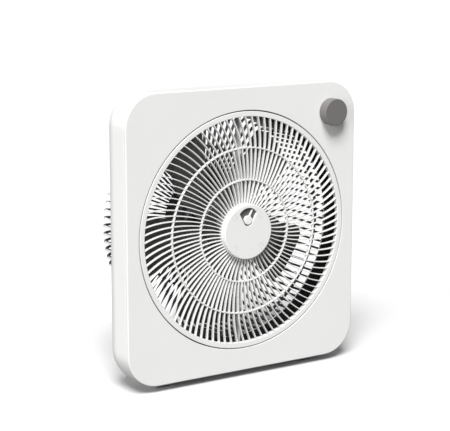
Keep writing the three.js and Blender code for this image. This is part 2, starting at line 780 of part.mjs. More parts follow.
const pinHole = rod(DRIVE_PIN.radius + GAP, -SHAFT.radius - OVERSHOOT, SHAFT.radius + OVERSHOOT, 8)
  .rotateZ(Math.PI / 2)
  .translate(0, DRIVE_PIN.depth, 0);
const shaft = revolve([
  [0, SHAFT.threadFront],
  [SHAFT.threadRadius, SHAFT.threadFront],
  [SHAFT.threadRadius, SHAFT.front],
  [SHAFT.radius, SHAFT.front],
  [SHAFT.radius, SHAFT.back],
  [0, SHAFT.back],
]);
const drivePin = rod(DRIVE_PIN.radius, -DRIVE_PIN.length / 2, DRIVE_PIN.length / 2, 8)
  .rotateZ(Math.PI / 2)
  .translate(0, DRIVE_PIN.depth, 0);

/** A cup with a bearing housing: the open side meets the stator stack. */
function bell(plateFace, stackFace) {
  const inward = Math.sign(stackFace - plateFace);
  const plate = plateFace + inward * MOTOR.wall;
  const noseOut = plateFace - inward * (inward > 0 ? BEARING.overhang : 0);
  const noseIn = noseOut + inward * BEARING.length;
  return revolve(
    [
      [BEARING.radius + GAP, noseOut],
      [BEARING.housingRadius, noseOut],
      [BEARING.housingRadius, plateFace],
      [MOTOR.radius, plateFace],
      [MOTOR.radius, stackFace],
      [MOTOR.radius - MOTOR.wall, stackFace],
      [MOTOR.radius - MOTOR.wall, plate],
      [BEARING.housingRadius, plate],
      [BEARING.housingRadius, noseIn],
      [BEARING.radius + GAP, noseIn],
    ],
    MEDIUM,
  );
}

function motorBellRear() {
  let rear = solid(bell(MOTOR.back, MOTOR.stackBack + GAP));
  for (const angle of quarterTurns(4, MOTOR_SCREW.firstAngle)) {
    const [x, z] = polar(MOTOR_SCREW.radius, angle);
    const post = moved(rod(SCREW.head, MOTOR_SCREW.postFront, MOTOR.back - OVERSHOOT), x, z);
    const hole = moved(screwHole(MOTOR_SCREW.tip - GAP, MOTOR.back + OVERSHOOT), x, z);
    rear = cut(join(rear, post), hole);
  }
  return rear;
}

function stator() {
  let stack = solid(pipe(MOTOR.radius, STATOR.bore, MOTOR.stackFront + GAP, MOTOR.stackBack, MEDIUM));
  const length = MOTOR.stackBack - MOTOR.stackFront + 2 * OVERSHOOT;
  for (const angle of quarterTurns(STATOR.teeth, 0)) {
    const slot = block(STATOR.slotDepth, length, STATOR.toothGap)
      .translate(STATOR.bore + STATOR.slotDepth / 2 - OVERSHOOT, (MOTOR.stackFront + MOTOR.stackBack) / 2, 0)
      .rotateY(radians(angle));
    stack = cut(stack, slot);
  }
  return stack;
}

const stackMiddle = (MOTOR.stackFront + MOTOR.stackBack) / 2;
const coil = (front) => pipe(WINDING.outer, WINDING.inner, front, front + WINDING.length, MEDIUM);
const bearing = (front) => pipe(BEARING.radius, SHAFT.radius + GAP, front, front + BEARING.length);

add('fan_blade', fanBlade(), greyBlade);
add('spinner_nut', spinner, greyKnob);
add('drive_pin', drivePin, brightSteel);
add('motor_shaft', cut(shaft, pinHole), brightSteel);
const rotorFront = stackMiddle - ROTOR.length / 2;
add('motor_rotor', pipe(ROTOR.radius, SHAFT.radius + GAP, rotorFront, rotorFront + ROTOR.length, MEDIUM), lamination);
add('motor_stator', stator(), lamination);
add('winding_front', coil(MOTOR.stackFront - WINDING.length), copper);
add('winding_rear', coil(MOTOR.stackBack + GAP), copper);
add('motor_bell_front', bell(MOTOR.front, MOTOR.stackFront), castAlloy);
add('motor_bell_rear', motorBellRear(), castAlloy);
add('shaft_bushing_front', bearing(MOTOR.front - BEARING.overhang), bronze);
add('shaft_bushing_rear', bearing(MOTOR.back - BEARING.length), bronze);

// ---------------------------------------------------------------- speed control and wiring

const switchFront = PANEL.thickness + GAP;
const switchBack = switchFront + SWITCH.depth;
const spindleBore = rod(SWITCH.spindle + GAP, -KNOB.height, SPINDLE_BACK + GAP);
const switchBody = cut(
  join(
    block(SWITCH.size, SWITCH.depth, SWITCH.size).translate(0, (switchFront + switchBack) / 2, 0),
    rod(SWITCH.neckRadius, -SWITCH.neckFront, switchFront + OVERSHOOT),
  ),
  spindleBore,
);
const knobBore = KNOB.height - KNOB.face;
const knob = revolve(
  [
    [0, -KNOB.height],
    [KNOB.radius - KNOB.bevel, -KNOB.height],
    [KNOB.radius, -KNOB.height + KNOB.bevel],
    [KNOB.radius, -GAP],
    [KNOB.radius - KNOB.wall, -GAP],
    [KNOB.radius - KNOB.wall, -SWITCH.neckFront - 1],
    [SWITCH.spindle + GAP, -SWITCH.neckFront - 1],
    [SWITCH.spindle + GAP, -knobBore],
    [0, -knobBore],
  ],
  MEDIUM,
);
const nutBore = (SWITCH.neckRadius + GAP) / Math.cos(Math.PI / 6);
const switchNut = pipe(SWITCH.nutRadius, nutBore, -SWITCH.neckFront, -GAP, 6);
const atKnob = (geometry) => moved(geometry, KNOB.x, KNOB.z);

add('speed_knob', atKnob(knob), greyKnob);
add('switch_spindle', atKnob(rod(SWITCH.spindle, -knobBore + GAP, SPINDLE_BACK)), brightSteel);
add('switch_nut', atKnob(switchNut), brightSteel);
add('rotary_switch', atKnob(geometryOf(switchBody)), blackPlastic);

const capacitorLength = CAPACITOR.back - CAPACITOR.front;
add(
  'capacitor',
  block(CAPACITOR.width, capacitorLength, CAPACITOR.height).translate(
    CAPACITOR.x,
    CAPACITOR.front + capacitorLength / 2,
    CAPACITOR.z,
  ),
  blackPlastic,
);

const leadSection = new THREE.Shape(
  quarterTurns(LEAD.sides, 0).map((angle) => new THREE.Vector2(...polar(LEAD.radius, angle))),
);
const leadOptions = { steps: LEAD.steps, bevelEnabled: false, extrudePath: leadPath() };
add('motor_lead', new THREE.ExtrudeGeometry(leadSection, leadOptions), blackPlastic);

// ---------------------------------------------------------------- screws

corners.forEach(([sideX, sideZ], i) => {
  const screw = screwBody(CASE_SCREW.seat + GAP, CASE_SCREW.tip);
  add(`case_screw_${i + 1}`, moved(screw, sideX * CASE_SCREW.x, sideZ * CASE_SCREW.z), brightSteel);
});
quarterTurns(4, GRILLE_SCREW.firstAngle).forEach((angle, i) => {
  const screw = screwBody(BACK_WALL.back + DRUM.flange + 2 * GAP, GRILLE_SCREW.tip);
  add(`grille_screw_${i + 1}`, moved(screw, ...polar(GRILLE_SCREW.radius, angle)), brightSteel);
});
quarterTurns(4, MOTOR_SCREW.firstAngle).forEach((angle, i) => {
  const screw = screwBody(DRUM.back + GAP, MOTOR_SCREW.tip);
  add(`motor_screw_${i + 1}`, moved(screw, ...polar(MOTOR_SCREW.radius, angle)), brightSteel);
});

// ---------------------------------------------------------------- the fan on its feet

const axisHeight = BODY.height / 2 + FLOOR_GAP;
const middleDepth = (MOTOR_COVER.back - KNOB.height) / 2;
fan.position.set(0, -middleDepth, axisHeight);

const boxFan = new THREE.Group();
boxFan.add(fan);

export default boxFan;
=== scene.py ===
"""A square white box fan on low feet, with a turning front grille, a hub lever and a grey speed knob.

Sizes are in millimetres, from the fan's axis at the front panel's face: X right, Y back and Z up.
"""

import json
import math

import bmesh
import bpy
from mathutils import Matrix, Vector


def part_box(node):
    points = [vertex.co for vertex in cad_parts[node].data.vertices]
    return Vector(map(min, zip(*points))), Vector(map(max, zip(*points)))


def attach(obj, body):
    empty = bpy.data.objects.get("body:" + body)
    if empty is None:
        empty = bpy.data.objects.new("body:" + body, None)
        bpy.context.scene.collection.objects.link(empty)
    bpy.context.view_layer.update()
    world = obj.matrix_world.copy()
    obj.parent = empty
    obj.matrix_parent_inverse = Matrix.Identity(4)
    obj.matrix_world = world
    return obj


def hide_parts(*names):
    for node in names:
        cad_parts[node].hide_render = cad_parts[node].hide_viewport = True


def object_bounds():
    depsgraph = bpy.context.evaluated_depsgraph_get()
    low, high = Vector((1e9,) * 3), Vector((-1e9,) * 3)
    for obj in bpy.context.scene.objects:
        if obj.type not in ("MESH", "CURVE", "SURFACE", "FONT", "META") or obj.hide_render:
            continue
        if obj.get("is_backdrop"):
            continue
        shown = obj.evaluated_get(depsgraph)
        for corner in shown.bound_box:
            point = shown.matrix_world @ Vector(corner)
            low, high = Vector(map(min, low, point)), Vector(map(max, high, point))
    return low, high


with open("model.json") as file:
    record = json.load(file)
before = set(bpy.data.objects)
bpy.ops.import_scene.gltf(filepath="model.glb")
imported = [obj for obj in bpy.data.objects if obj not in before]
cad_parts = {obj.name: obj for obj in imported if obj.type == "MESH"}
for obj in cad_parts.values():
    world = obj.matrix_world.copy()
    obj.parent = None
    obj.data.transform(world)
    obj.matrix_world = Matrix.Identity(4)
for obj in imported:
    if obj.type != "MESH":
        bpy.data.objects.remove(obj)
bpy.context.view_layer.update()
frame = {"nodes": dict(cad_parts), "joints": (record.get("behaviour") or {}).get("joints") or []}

# ------------------------------------------------------------------ camera, floor and light
# The fan stands alone on a pale sweep. A long lens sees it from its left and from a little above,
# under a soft light overhead, a wider one on its left, a faint one behind and a white surround.

CAMERA_AIM = Vector((-0.0321, -0.0564, 0.2276))
CAMERA_DISTANCE = 1.9023
CAMERA_TURN = math.radians(-32.45)
CAMERA_RISE = math.radians(11.19)
CAMERA_LENS = 115.09
FLOOR_SIDE = 40.0
FLOOR_SEEN = 0.79
FLOOR_BOUNCE = 0.2
SURROUND_SEEN = 1.0
SURROUND_LIGHT = 0.14

away = Vector(
    (
        math.sin(CAMERA_TURN) * math.cos(CAMERA_RISE),
        -math.cos(CAMERA_TURN) * math.cos(CAMERA_RISE),
        math.sin(CAMERA_RISE),
    )
)
camera_data = bpy.data.cameras.new("camera")
camera_data.lens = CAMERA_LENS
camera = bpy.data.objects.new("camera", camera_data)
camera.location = CAMERA_AIM + away * CAMERA_DISTANCE
camera.rotation_euler = (-away).to_track_quat("-Z", "Y").to_euler()
bpy.context.scene.collection.objects.link(camera)
bpy.context.scene.camera = camera
bpy.context.scene.view_settings.view_transform = "Standard"


def shade_node(tree, kind, sockets, **settings):
    """Adds a shader node with its inputs set to values or linked to other nodes' outputs."""
    made = tree.nodes.new("ShaderNode" + kind)
    for name, value in settings.items():
        setattr(made, name, value)
    for name, value in sockets.items():
        if isinstance(value, bpy.types.NodeSocket):
            tree.links.new(value, made.inputs[name])
        else:
            made.inputs[name].default_value = value
    return made


def mapped(tree, value, low, high):
    """A value from 0 to 1 moved to a range from low to high."""
    return shade_node(tree, "MapRange", {"Value": value, "To Min": low, "To Max": high}).outputs["Result"]


world = bpy.data.worlds.new("surround")
world.use_nodes = True
world.node_tree.nodes.clear()
seen = shade_node(world.node_tree, "LightPath", {}).outputs["Is Camera Ray"]
level = mapped(world.node_tree, seen, SURROUND_LIGHT, SURROUND_SEEN)
backdrop = shade_node(world.node_tree, "Background", {"Strength": level})
shade_node(world.node_tree, "OutputWorld", {"Surface": backdrop.outputs["Background"]})
bpy.context.scene.world = world


def soft_sun(name, toward, spread, strength):
    """Even light from far away: the direction toward it, how wide it is in degrees and its power."""
    data = bpy.data.lights.new(name, "SUN")
    data.angle = math.radians(spread)
    data.energy = strength
    lamp = bpy.data.objects.new(name, data)
    lamp.rotation_euler = Vector(toward).to_track_quat("Z", "Y").to_euler()
    bpy.context.scene.collection.objects.link(lamp)


soft_sun("overhead_light", (-0.4, -0.6, 0.95), 26, 4.1)
soft_sun("left_light", (-1.0, -0.35, 0.3), 40, 1.6)
soft_sun("back_light", (0.2, 0.55, 1.0), 70, 0.4)

floor_mesh = bpy.data.meshes.new("floor")
half = FLOOR_SIDE / 2
floor_corners = [(-half, -half, 0), (half, -half, 0), (half, half, 0), (-half, half, 0)]
floor_mesh.from_pydata(floor_corners, [], [(0, 1, 2, 3)])
floor = bpy.data.objects.new("floor", floor_mesh)
bpy.context.scene.collection.objects.link(floor)


def empty_finish(name):
    """A new material with no nodes yet."""
    finish = bpy.data.materials.new(name)
    finish.use_nodes = True
    finish.node_tree.nodes.clear()
    return finish


pale = empty_finish("pale_sweep")
watched = shade_node(pale.node_tree, "LightPath", {}).outputs["Is Camera Ray"]
floor_tone = mapped(pale.node_tree, watched, FLOOR_BOUNCE, FLOOR_SEEN)
floor_shader = shade_node(
    pale.node_tree,
    "BsdfPrincipled",
    {"Base Color": floor_tone, "Roughness": 0.8, "Specular IOR Level": 0.1},
)
shade_node(pale.node_tree, "OutputMaterial", {"Surface": floor_shader.outputs["BSDF"]})
floor_mesh.materials.append(pale)
floor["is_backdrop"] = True

# ------------------------------------------------------------------ front panel
# A flat plate of matt white moulded plastic with a finely eroded face and soft edges. A short
# collar stands behind its round opening, and a lip round its back plugs into the rear shell.

MM = 0.001
PANEL_CORNER = 45
PANEL_EDGE = 1.2
PANEL_PLATE = 3
PANEL_RIM = 5
LIP_DEPTH = 9
SHELL_WALL = 2.6
GAP = 0.3
LIP_WALL = 2.1
OPENING = 162.4
OPENING_EDGE = 0.5
COLLAR_WALL = 2.6
COLLAR_DEPTH = 10
CRISP = math.radians(38)  # a steeper bend than this stays a sharp edge
EDGE_STEPS = 4
OVERRUN = 1  # how far a cutter runs past the face it cuts
SINK = 0.5  # how far a joined body runs into its neighbour
NEAR = 0.1  # how far a face may lie from the surface it belongs to

joint_places = {joint["name"]: Vector(joint["pos_m"]) for joint in frame["joints"]}
panel_centre = joint_places["grille_turn"]


def extent(node):
    """A CAD node's lowest and highest corners, in millimetres from the panel's centre."""
    low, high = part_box(node)
    return (low - panel_centre) / MM, (high - panel_centre) / MM


def polar(radius, angle):
    """X and Z of a point at an angle in degrees, counter-clockwise from the right."""
    return radius * math.cos(math.radians(angle)), radius * math.sin(math.radians(angle))


def between(start, end, steps):
    """Evenly spaced values from start to end, both included."""
    return [start + (end - start) * i / steps for i in range(steps + 1)]


def soft_corners(corners, steps=EDGE_STEPS):
    """An outline of (across, along, radius) corners, each rounded by its radius if it has one."""
    points = []
    for i, (across, along, *rounding) in enumerate(corners):
        here = Vector((across, along))
        radius = sum(rounding)
        if not radius:
            points.append(here)
            continue
        before = (Vector(corners[i - 1][:2]) - here).normalized()
        after = (Vector(corners[(i + 1) % len(corners)][:2]) - here).normalized()
        half_angle = before.angle(after) / 2
        centre = here + (before + after).normalized() * radius / math.sin(half_angle)
        first = here + before * radius / math.tan(half_angle) - centre
        last = here + after * radius / math.tan(half_angle) - centre
        start = math.atan2(first.y, first.x)
        turn = math.atan2(first.cross(last), first.dot(last))
        for share in between(0, 1, steps):
            angle = start + turn * share
            points.append(centre + radius * Vector((math.cos(angle), math.sin(angle))))
    return points


def skin(form, rows, wrap=False, capped=False):
    """Joins rows of points with faces. A row of one point is a pole; wrap closes last to first."""
    rings = [[form.verts.new(Vector(point) * MM) for point in row] for row in rows]
    pairs = list(zip(rings, rings[1:]))
    if wrap:
        pairs.append((rings[-1], rings[0]))
    for near, far in pairs:
        for i in range(max(len(near), len(far))):
            j = i + 1
            around = (near[i % len(near)], near[j % len(near)], far[j % len(far)], far[i % len(far)])
            form.faces.new(list(dict.fromkeys(around)))
    if capped:
        form.faces.new(rings[0])
        form.faces.new(rings[-1])


def turned(form, corners, facets, x=0, z=0, flute=None, steps=EDGE_STEPS):
    """Adds a body turned about the Y direction from (radius, depth, rounding) corners. The corners
    go from axis to axis, or close on themselves away from it."""
    profile = soft_corners(corners, steps)
    rows = []
    for radius, depth in profile:
        spread = facets if radius > 0 else 1
        row = []
        for i in range(spread):
            angle = 360 * i / spread
            across, up = polar(radius * (flute(angle, depth) if flute else 1), angle)
            row.append((x + across, depth, z + up))
        rows.append(row)
    skin(form, rows, wrap=profile[0][0] > 0)


def piece(name, form, finish, body, slot, *nodes):
    """Makes a smooth-shaded object of a form. It rides on a body and stands for CAD nodes."""
    bmesh.ops.recalc_face_normals(form, faces=form.faces)
    for face in form.faces:
        face.smooth = True
    for edge in form.edges:
        edge.smooth = edge.calc_face_angle(0) < CRISP
    mesh = bpy.data.meshes.new(name)
    form.to_mesh(mesh)
    form.free()
    mesh.materials.append(finish)
    made = bpy.data.objects.new(name, mesh)
    made.location = panel_centre
    bpy.context.scene.collection.objects.link(made)
    shading = made.modifiers.new("flat_faces_stay_flat", "WEIGHTED_NORMAL")
    shading.keep_sharp = True
    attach(made, body)
    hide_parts(*nodes)
    return made


def paint_shade_on_faces(made, finish, chosen):
    """Gives the faces whose middle, in millimetres, is chosen a second material, which paints shade on them.
    """
    made.data.materials.append(finish)
    for face in made.data.polygons:
        if chosen(face.center / MM):
            face.material_index = 1


def shade_group(name, inputs, outputs):
    """An empty shader group, with (name, starting value) inputs and (name, starting value) outputs."""
    group = bpy.data.node_groups.new(name, "ShaderNodeTree")
    for direction, sockets in (("INPUT", inputs), ("OUTPUT", outputs)):
        for label, value in sockets:
            kind = "NodeSocketColor" if isinstance(value, tuple) else "NodeSocketFloat"
            socket = group.interface.new_socket(label, in_out=direction, socket_type=kind)
            socket.default_value = value
    return group, group.nodes.new("NodeGroupInput").outputs, group.nodes.new("NodeGroupOutput").inputs


# Tool grain: the eroded face of the mould prints fine grain, and flow leaves a faint mottle.
tool_grain, given, made = shade_group(
    "tool_grain",
    [("Colour", (0.8, 0.8, 0.8, 1)), ("Roughness", 0.5), ("Grain per metre", 900.0), ("Mottle", 0.02)],
    [("Colour", (0.8, 0.8, 0.8, 1)), ("Roughness", 0.5), ("Height", 0.0)],
)
where = shade_node(tool_grain, "TexCoord", {}).outputs["Object"]
grain = shade_node(
    tool_grain, "TexNoise", {"Vector": where, "Scale": given["Grain per metre"], "Detail": 3.0}
)
cloud = shade_node(tool_grain, "TexNoise", {"Vector": where, "Scale": 14.0, "Detail": 4.0}).outputs["Fac"]
darkest = shade_node(tool_grain, "Math", {0: 1.0, 1: given["Mottle"]}, operation="SUBTRACT")
tone = shade_node(
    tool_grain,
    "MapRange",
    {"Value": cloud, "From Min": 0.3, "From Max": 0.7, "To Min": darkest.outputs[0], "To Max": 1.0},
)
mottled = shade_node(
    tool_grain,
    "VectorMath",
    {0: given["Colour"], "Scale": tone.outputs["Result"]},
    operation="SCALE",
)
duller = shade_node(
    tool_grain,
    "MapRange",
    {"Value": cloud, "From Min": 0.3, "From Max": 0.7, "To Min": -0.05, "To Max": 0.05},
)
rough = shade_node(tool_grain, "Math", {0: given["Roughness"], 1: duller.outputs["Result"]}, operation="ADD")
tool_grain.links.new(mottled.outputs["Vector"], made["Colour"])
tool_grain.links.new(rough.outputs[0], made["Roughness"])
tool_grain.links.new(grain.outputs["Fac"], made["Height"])

# Handling: outer edges are rubbed a little smoother and paler, and dust settles on upper faces.
handling, given, made = shade_group(
    "handling",
    [("Colour", (0.8, 0.8, 0.8, 1)), ("Rubbed colour", (0.9, 0.9, 0.9, 1)), ("Rubbed", 0.3), ("Dust", 0.05)],
    [("Colour", (0.8, 0.8, 0.8, 1)), ("Edge", 0.0)],
)
surface = shade_node(handling, "NewGeometry", {})
edge = shade_node(
    handling,
    "MapRange",
    {"Value": surface.outputs["Pointiness"], "From Min": 0.52, "From Max": 0.62, "To Max": given["Rubbed"]},
)
rubbed = shade_node(
    handling,
    "Mix",
    {"Factor": edge.outputs["Result"], "A": given["Colour"], "B": given["Rubbed colour"]},
    data_type="RGBA",
)
facing = shade_node(handling, "SeparateXYZ", {"Vector": surface.outputs["Normal"]})
level_face = shade_node(
    handling,
    "MapRange",
    {"Value": facing.outputs["Z"], "From Min": 0.6, "From Max": 1.0, "To Max": given["Dust"]},
)
specks = shade_node(
    handling,
    "TexNoise",
    {"Vector": shade_node(handling, "TexCoord", {}).outputs["Object"], "Scale": 260.0, "Detail": 5.0},
)
settled = shade_node(
    handling, "Math", {0: level_face.outputs["Result"], 1: specks.outputs["Fac"]}, operation="MULTIPLY"
)
dusty = shade_node(
    handling,
    "Mix",
    {"Factor": settled.outputs[0], "A": rubbed.outputs["Result"], "B": (0.6, 0.58, 0.55, 1)},
    data_type="RGBA",
)
handling.links.new(dusty.outputs["Result"], made["Colour"])
handling.links.new(edge.outputs["Result"], made["Edge"])


def surfaced(finish, colour, surface, relief, sockets):
    """Ends a material: a colour, and a surface group's roughness and relief in millimetres."""
    tree = finish.node_tree
    bump = shade_node(tree, "Bump", {"Height": surface.outputs["Height"], "Distance": relief * MM})
    shader = shade_node(
        tree,
        "BsdfPrincipled",
        {
            "Base Color": colour,
            "Roughness": surface.outputs["Roughness"],
            "Normal": bump.outputs["Normal"],
            **sockets,
        },
    )
    shade_node(tree, "OutputMaterial", {"Surface": shader.outputs["BSDF"]})
    return finish


def moulded(name, colour, roughness, grain, relief, mottle=0.02, rubbed=0.2, dust=0.05, sockets=None):
    """Moulded plastic or rubber. Relief is the depth of its tool grain in millimetres."""
    finish = empty_finish(name)
    tree = finish.node_tree
    base = (*colour, 1)
    paler = tuple(0.7 * channel + 0.3 for channel in colour)
    surface = shade_node(
        tree,
        "Group",
        {"Colour": base, "Roughness": roughness, "Grain per metre": grain, "Mottle": mottle},
        node_tree=tool_grain,
    )
    used = shade_node(
        tree,
        "Group",
        {"Colour": surface.outputs["Colour"], "Rubbed colour": (*paler, 1), "Rubbed": rubbed, "Dust": dust},
        node_tree=handling,
    )
    return surfaced(finish, used.outputs["Colour"], surface, relief, sockets or {})


white_panel = moulded("white_panel", (0.83, 0.83, 0.82), 0.5, 1100, 0.02, mottle=0.012, rubbed=0.1)
# Painted shade: a near-black material laid on inner faces that stand in shadow.
painted_shade_black = moulded("painted_shade_black", (0.012, 0.012, 0.013), 0.85, 800, 0.03, mottle=0.1, rubbed=0)

frame_high = extent("front_frame")[1]
half_width, half_height = frame_high.x, frame_high.z


def body_outline(inset, depth, arc_steps=18, side_steps=40):
    """The body's rounded outline at a depth, drawn in by an inset: one quarter of it at a time."""
    radius = PANEL_CORNER - inset
    across, up = half_width - PANEL_CORNER, half_height - PANEL_CORNER
    centres = [(across, up), (-across, up), (-across, -up), (across, -up)]
    points = []
    for quarter, (x, z) in enumerate(centres):
        for i in range(arc_steps + 1):
            out, rise = polar(radius, 90 * (quarter + i / arc_steps))
            points.append(Vector((x + out, depth, z + rise)))
        x_next, z_next = centres[(quarter + 1) % 4]
        out, rise = polar(radius, 90 * (quarter + 1))
        start, end = Vector((x + out, depth, z + rise)), Vector((x_next + out, depth, z_next + rise))
        points += [start.lerp(end, i / side_steps) for i in range(1, side_steps)]
    return points


outline_angles = [math.degrees(math.atan2(point.z, point.x)) for point in body_outline(0, 0)]


def circle_row(radius, depth):
    """A circle at a depth, whose points face the points of the body's outline."""
    return [(x, depth, z) for x, z in (polar(radius, angle) for angle in outline_angles)]


lip = SHELL_WALL + GAP
edge_profile = soft_corners([(0, PANEL_RIM, 0), (0, 0, PANEL_EDGE), (PANEL_EDGE * 2, 0, 0)])
mouth_profile = soft_corners(
    [
        (OPENING + 4 * OPENING_EDGE, 0),
        (OPENING, 0, OPENING_EDGE),
        (OPENING, COLLAR_DEPTH, OPENING_EDGE),
        (OPENING + COLLAR_WALL, COLLAR_DEPTH, OPENING_EDGE),
        (OPENING + COLLAR_WALL, PANEL_PLATE),
    ]
)
lip_profile = soft_corners(
    [
        (lip + LIP_WALL, PANEL_PLATE),
        (lip + LIP_WALL, LIP_DEPTH, OPENING_EDGE),
        (lip, LIP_DEPTH, OPENING_EDGE),
        (lip, PANEL_RIM),
    ]
)
panel = bmesh.new()
panel_rows = [body_outline(inset, depth) for inset, depth in edge_profile]
panel_rows += [circle_row(radius, depth) for radius, depth in mouth_profile]
panel_rows += [body_outline(inset, depth) for inset, depth in lip_profile]
skin(panel, panel_rows, wrap=True)
made = piece("front_panel", panel, white_panel, "casing", "white_panel", "front_frame")


def within_outline(middle, inset):
    """Whether a point lies inside the body's rounded outline, drawn in by an inset."""
    past_x = max(abs(middle.x) - (half_width - PANEL_CORNER), 0)
    past_z = max(abs(middle.z) - (half_height - PANEL_CORNER), 0)
    return math.hypot(past_x, past_z) < PANEL_CORNER - inset


def behind_plate(middle):
    """Whether a point lies on the back of the panel's plate or round its collar."""
    outside_mouth = math.hypot(middle.x, middle.z) > OPENING + NEAR
    inside_lip = within_outline(middle, lip + LIP_WALL - 2 * NEAR)
    return middle.y > PANEL_PLATE - NEAR and inside_lip and outside_mouth


# The back of the plate and the faces round its collar get painted shade in near-black.
paint_shade_on_faces(made, painted_shade_black, behind_plate)

# ------------------------------------------------------------------ rear shell
# One satin white moulding: straight sides that start into a large round and end in an open back.
# A recessed wall inside it carries the basket, and four screws go through its wells into the
# panel. The inside in front of that wall is painted near-black as painted shade, so nothing shows past the
# blade.

ROUND = 44
ROUND_START = 32
ROUND_ANGLE = 36
ROUND_STEPS = 12
BACK_EDGE = 0.7
WALL_FRONT = 28
WALL_BACK = 30.6
WALL_OPENING = 153
WELL = 3.9
WELL_WALL = 2.6
WELL_FLOOR = 24
WELL_FRONT = 20
WALL_MARGIN = 4
SHANK_HOLE = 1.8
CASE_SCREW_X = 160
CASE_SCREW_Z = 118
SEAT_SCREW_RADIUS = 161.2
SEAT_SCREW_ANGLE = 22.5
SEAT_BOSS = 4.5
SEAT_BOSS_FRONT = 22
GROMMET_HOLE = 5
LEAD_HOLE = 3.8
LEAD_HOLE_RADIUS = 172
LEAD_ANGLE = 47.7
CAVITY_EDGE = 0.8

white_shell = moulded("white_shell", (0.88, 0.88, 0.87), 0.4, 1400, 0.008, mottle=0.01, rubbed=0.05)


def carved(form, tool, operation="DIFFERENCE"):
    """What is left of one closed form when another is cut out of it, or joined to it."""
    blanks = []
    for part in (form, tool):
        bmesh.ops.recalc_face_normals(part, faces=part.faces)
        mesh = bpy.data.meshes.new("blank")
        part.to_mesh(mesh)
        part.free()
        blank = bpy.data.objects.new("blank", mesh)
        bpy.context.scene.collection.objects.link(blank)
        blanks.append(blank)
    cut = blanks[0].modifiers.new("cut", "BOOLEAN")
    cut.operation = operation
    cut.object = blanks[1]
    left = bmesh.new()
    left.from_object(blanks[0], bpy.context.evaluated_depsgraph_get())
    for blank in blanks:
        bpy.data.meshes.remove(blank.data)
    return left


shell_front = extent("rear_shell")[0].y
grommet_low, grommet_high = extent("cord_grommet")
grommet_x, grommet_z = (grommet_low.x + grommet_high.x) / 2, (grommet_low.z + grommet_high.z) / 2
case_places = [(CASE_SCREW_X * side, CASE_SCREW_Z * rise) for side in (1, -1) for rise in (1, -1)]
seat_places = [polar(SEAT_SCREW_RADIUS, SEAT_SCREW_ANGLE + 90 * quarter) for quarter in range(4)]

shell = bmesh.new()
edge = SHELL_WALL / 2
skin(
    shell,
    [body_outline(edge, WALL_FRONT)]
    + [
        circle_row(radius, depth)
        for radius, depth in soft_corners(
            [
                (WALL_OPENING + WALL_MARGIN, WALL_FRONT),
                (WALL_OPENING, WALL_FRONT, 0.6),
                (WALL_OPENING, WALL_BACK, 0.6),
                (WALL_OPENING + WALL_MARGIN, WALL_BACK),
            ]
        )
    ]
    + [body_outline(edge, WALL_BACK)],
    wrap=True,
)


def drill(form, radius, front, back, facets, x=0, z=0):
    """Adds a plain round cutter about the Y direction."""
    turned(form, [(0, front), (radius, front), (radius, back), (0, back)], facets, x, z)


holes = bmesh.new()
round_holes = [(WELL, place) for place in case_places]
round_holes.append((GROMMET_HOLE, (grommet_x, grommet_z)))
round_holes.append((LEAD_HOLE, polar(LEAD_HOLE_RADIUS, LEAD_ANGLE)))
for radius, (x, z) in round_holes:
    drill(holes, radius, WALL_FRONT - 2 * OVERRUN, WALL_BACK + 2 * OVERRUN, 40, x, z)
shell = carved(shell, holes)
for x, z in case_places:
    well = [
        (SHANK_HOLE, WELL_FRONT),
        (WELL + WELL_WALL, WELL_FRONT, 0.5),
        (WELL + WELL_WALL, WALL_BACK - SINK),
        (WELL, WALL_BACK - SINK),
        (WELL, WELL_FLOOR, 0.3),
        (SHANK_HOLE, WELL_FLOOR),
    ]
    turned(shell, well, 40, x, z)
for x, z in seat_places:
    boss = [
        (0, SEAT_BOSS_FRONT),
        (SEAT_BOSS, SEAT_BOSS_FRONT, 0.5),
        (SEAT_BOSS, WALL_FRONT + SINK),
        (0, WALL_FRONT + SINK),
    ]
    turned(shell, boss, 32, x, z)


def round_point(wall, turn):
    """Inset and depth of the shell's skin at a turn of its round, for a depth below its face."""
    radius = ROUND - wall
    return wall + radius * (1 - math.cos(turn)), ROUND_START + radius * math.sin(turn)


turns = between(0, math.radians(ROUND_ANGLE), ROUND_STEPS)
outer_end = round_point(0, turns[-1])
inner_end = (round_point(SHELL_WALL, turns[-1])[0], outer_end[1])
straight_side = [
    (SHELL_WALL, ROUND_START),
    (SHELL_WALL, shell_front, 0.2),
    (0, shell_front, 0.4),
    (0, ROUND_START),
]
back_edge = [
    round_point(0, turns[-2]),
    (*outer_end, BACK_EDGE),
    (*inner_end, BACK_EDGE),
    round_point(SHELL_WALL, turns[-2]),
]
skin_profile = soft_corners(straight_side)
skin_profile += [round_point(0, turn) for turn in turns[:-1]]
skin_profile += soft_corners(back_edge)[1:-1]
skin_profile += [round_point(SHELL_WALL, turn) for turn in reversed(turns[1:-1])]
skin(shell, [body_outline(inset, depth) for inset, depth in skin_profile], wrap=True)
body = piece("rear_body", shell, white_shell, "casing", "white_shell", "rear_shell")


def in_front_cavity(middle):
    """Whether a point lies in front of the recessed wall and inside the shell's skin."""
    return LIP_DEPTH < middle.y < WALL_BACK - CAVITY_EDGE and within_outline(middle, SHELL_WALL - NEAR)


# The cavity in front of the recessed wall gets painted shade in near-black.
paint_shade_on_faces(body, painted_shade_black, in_front_cavity)

# ------------------------------------------------------------------ turning front grille
# A flat white moulding: a wide rim, two thin rings and a hub plate joined by swept ribs, which
# curve forward as they run out. The outer rings carry more ribs, so no gap grows too wide.

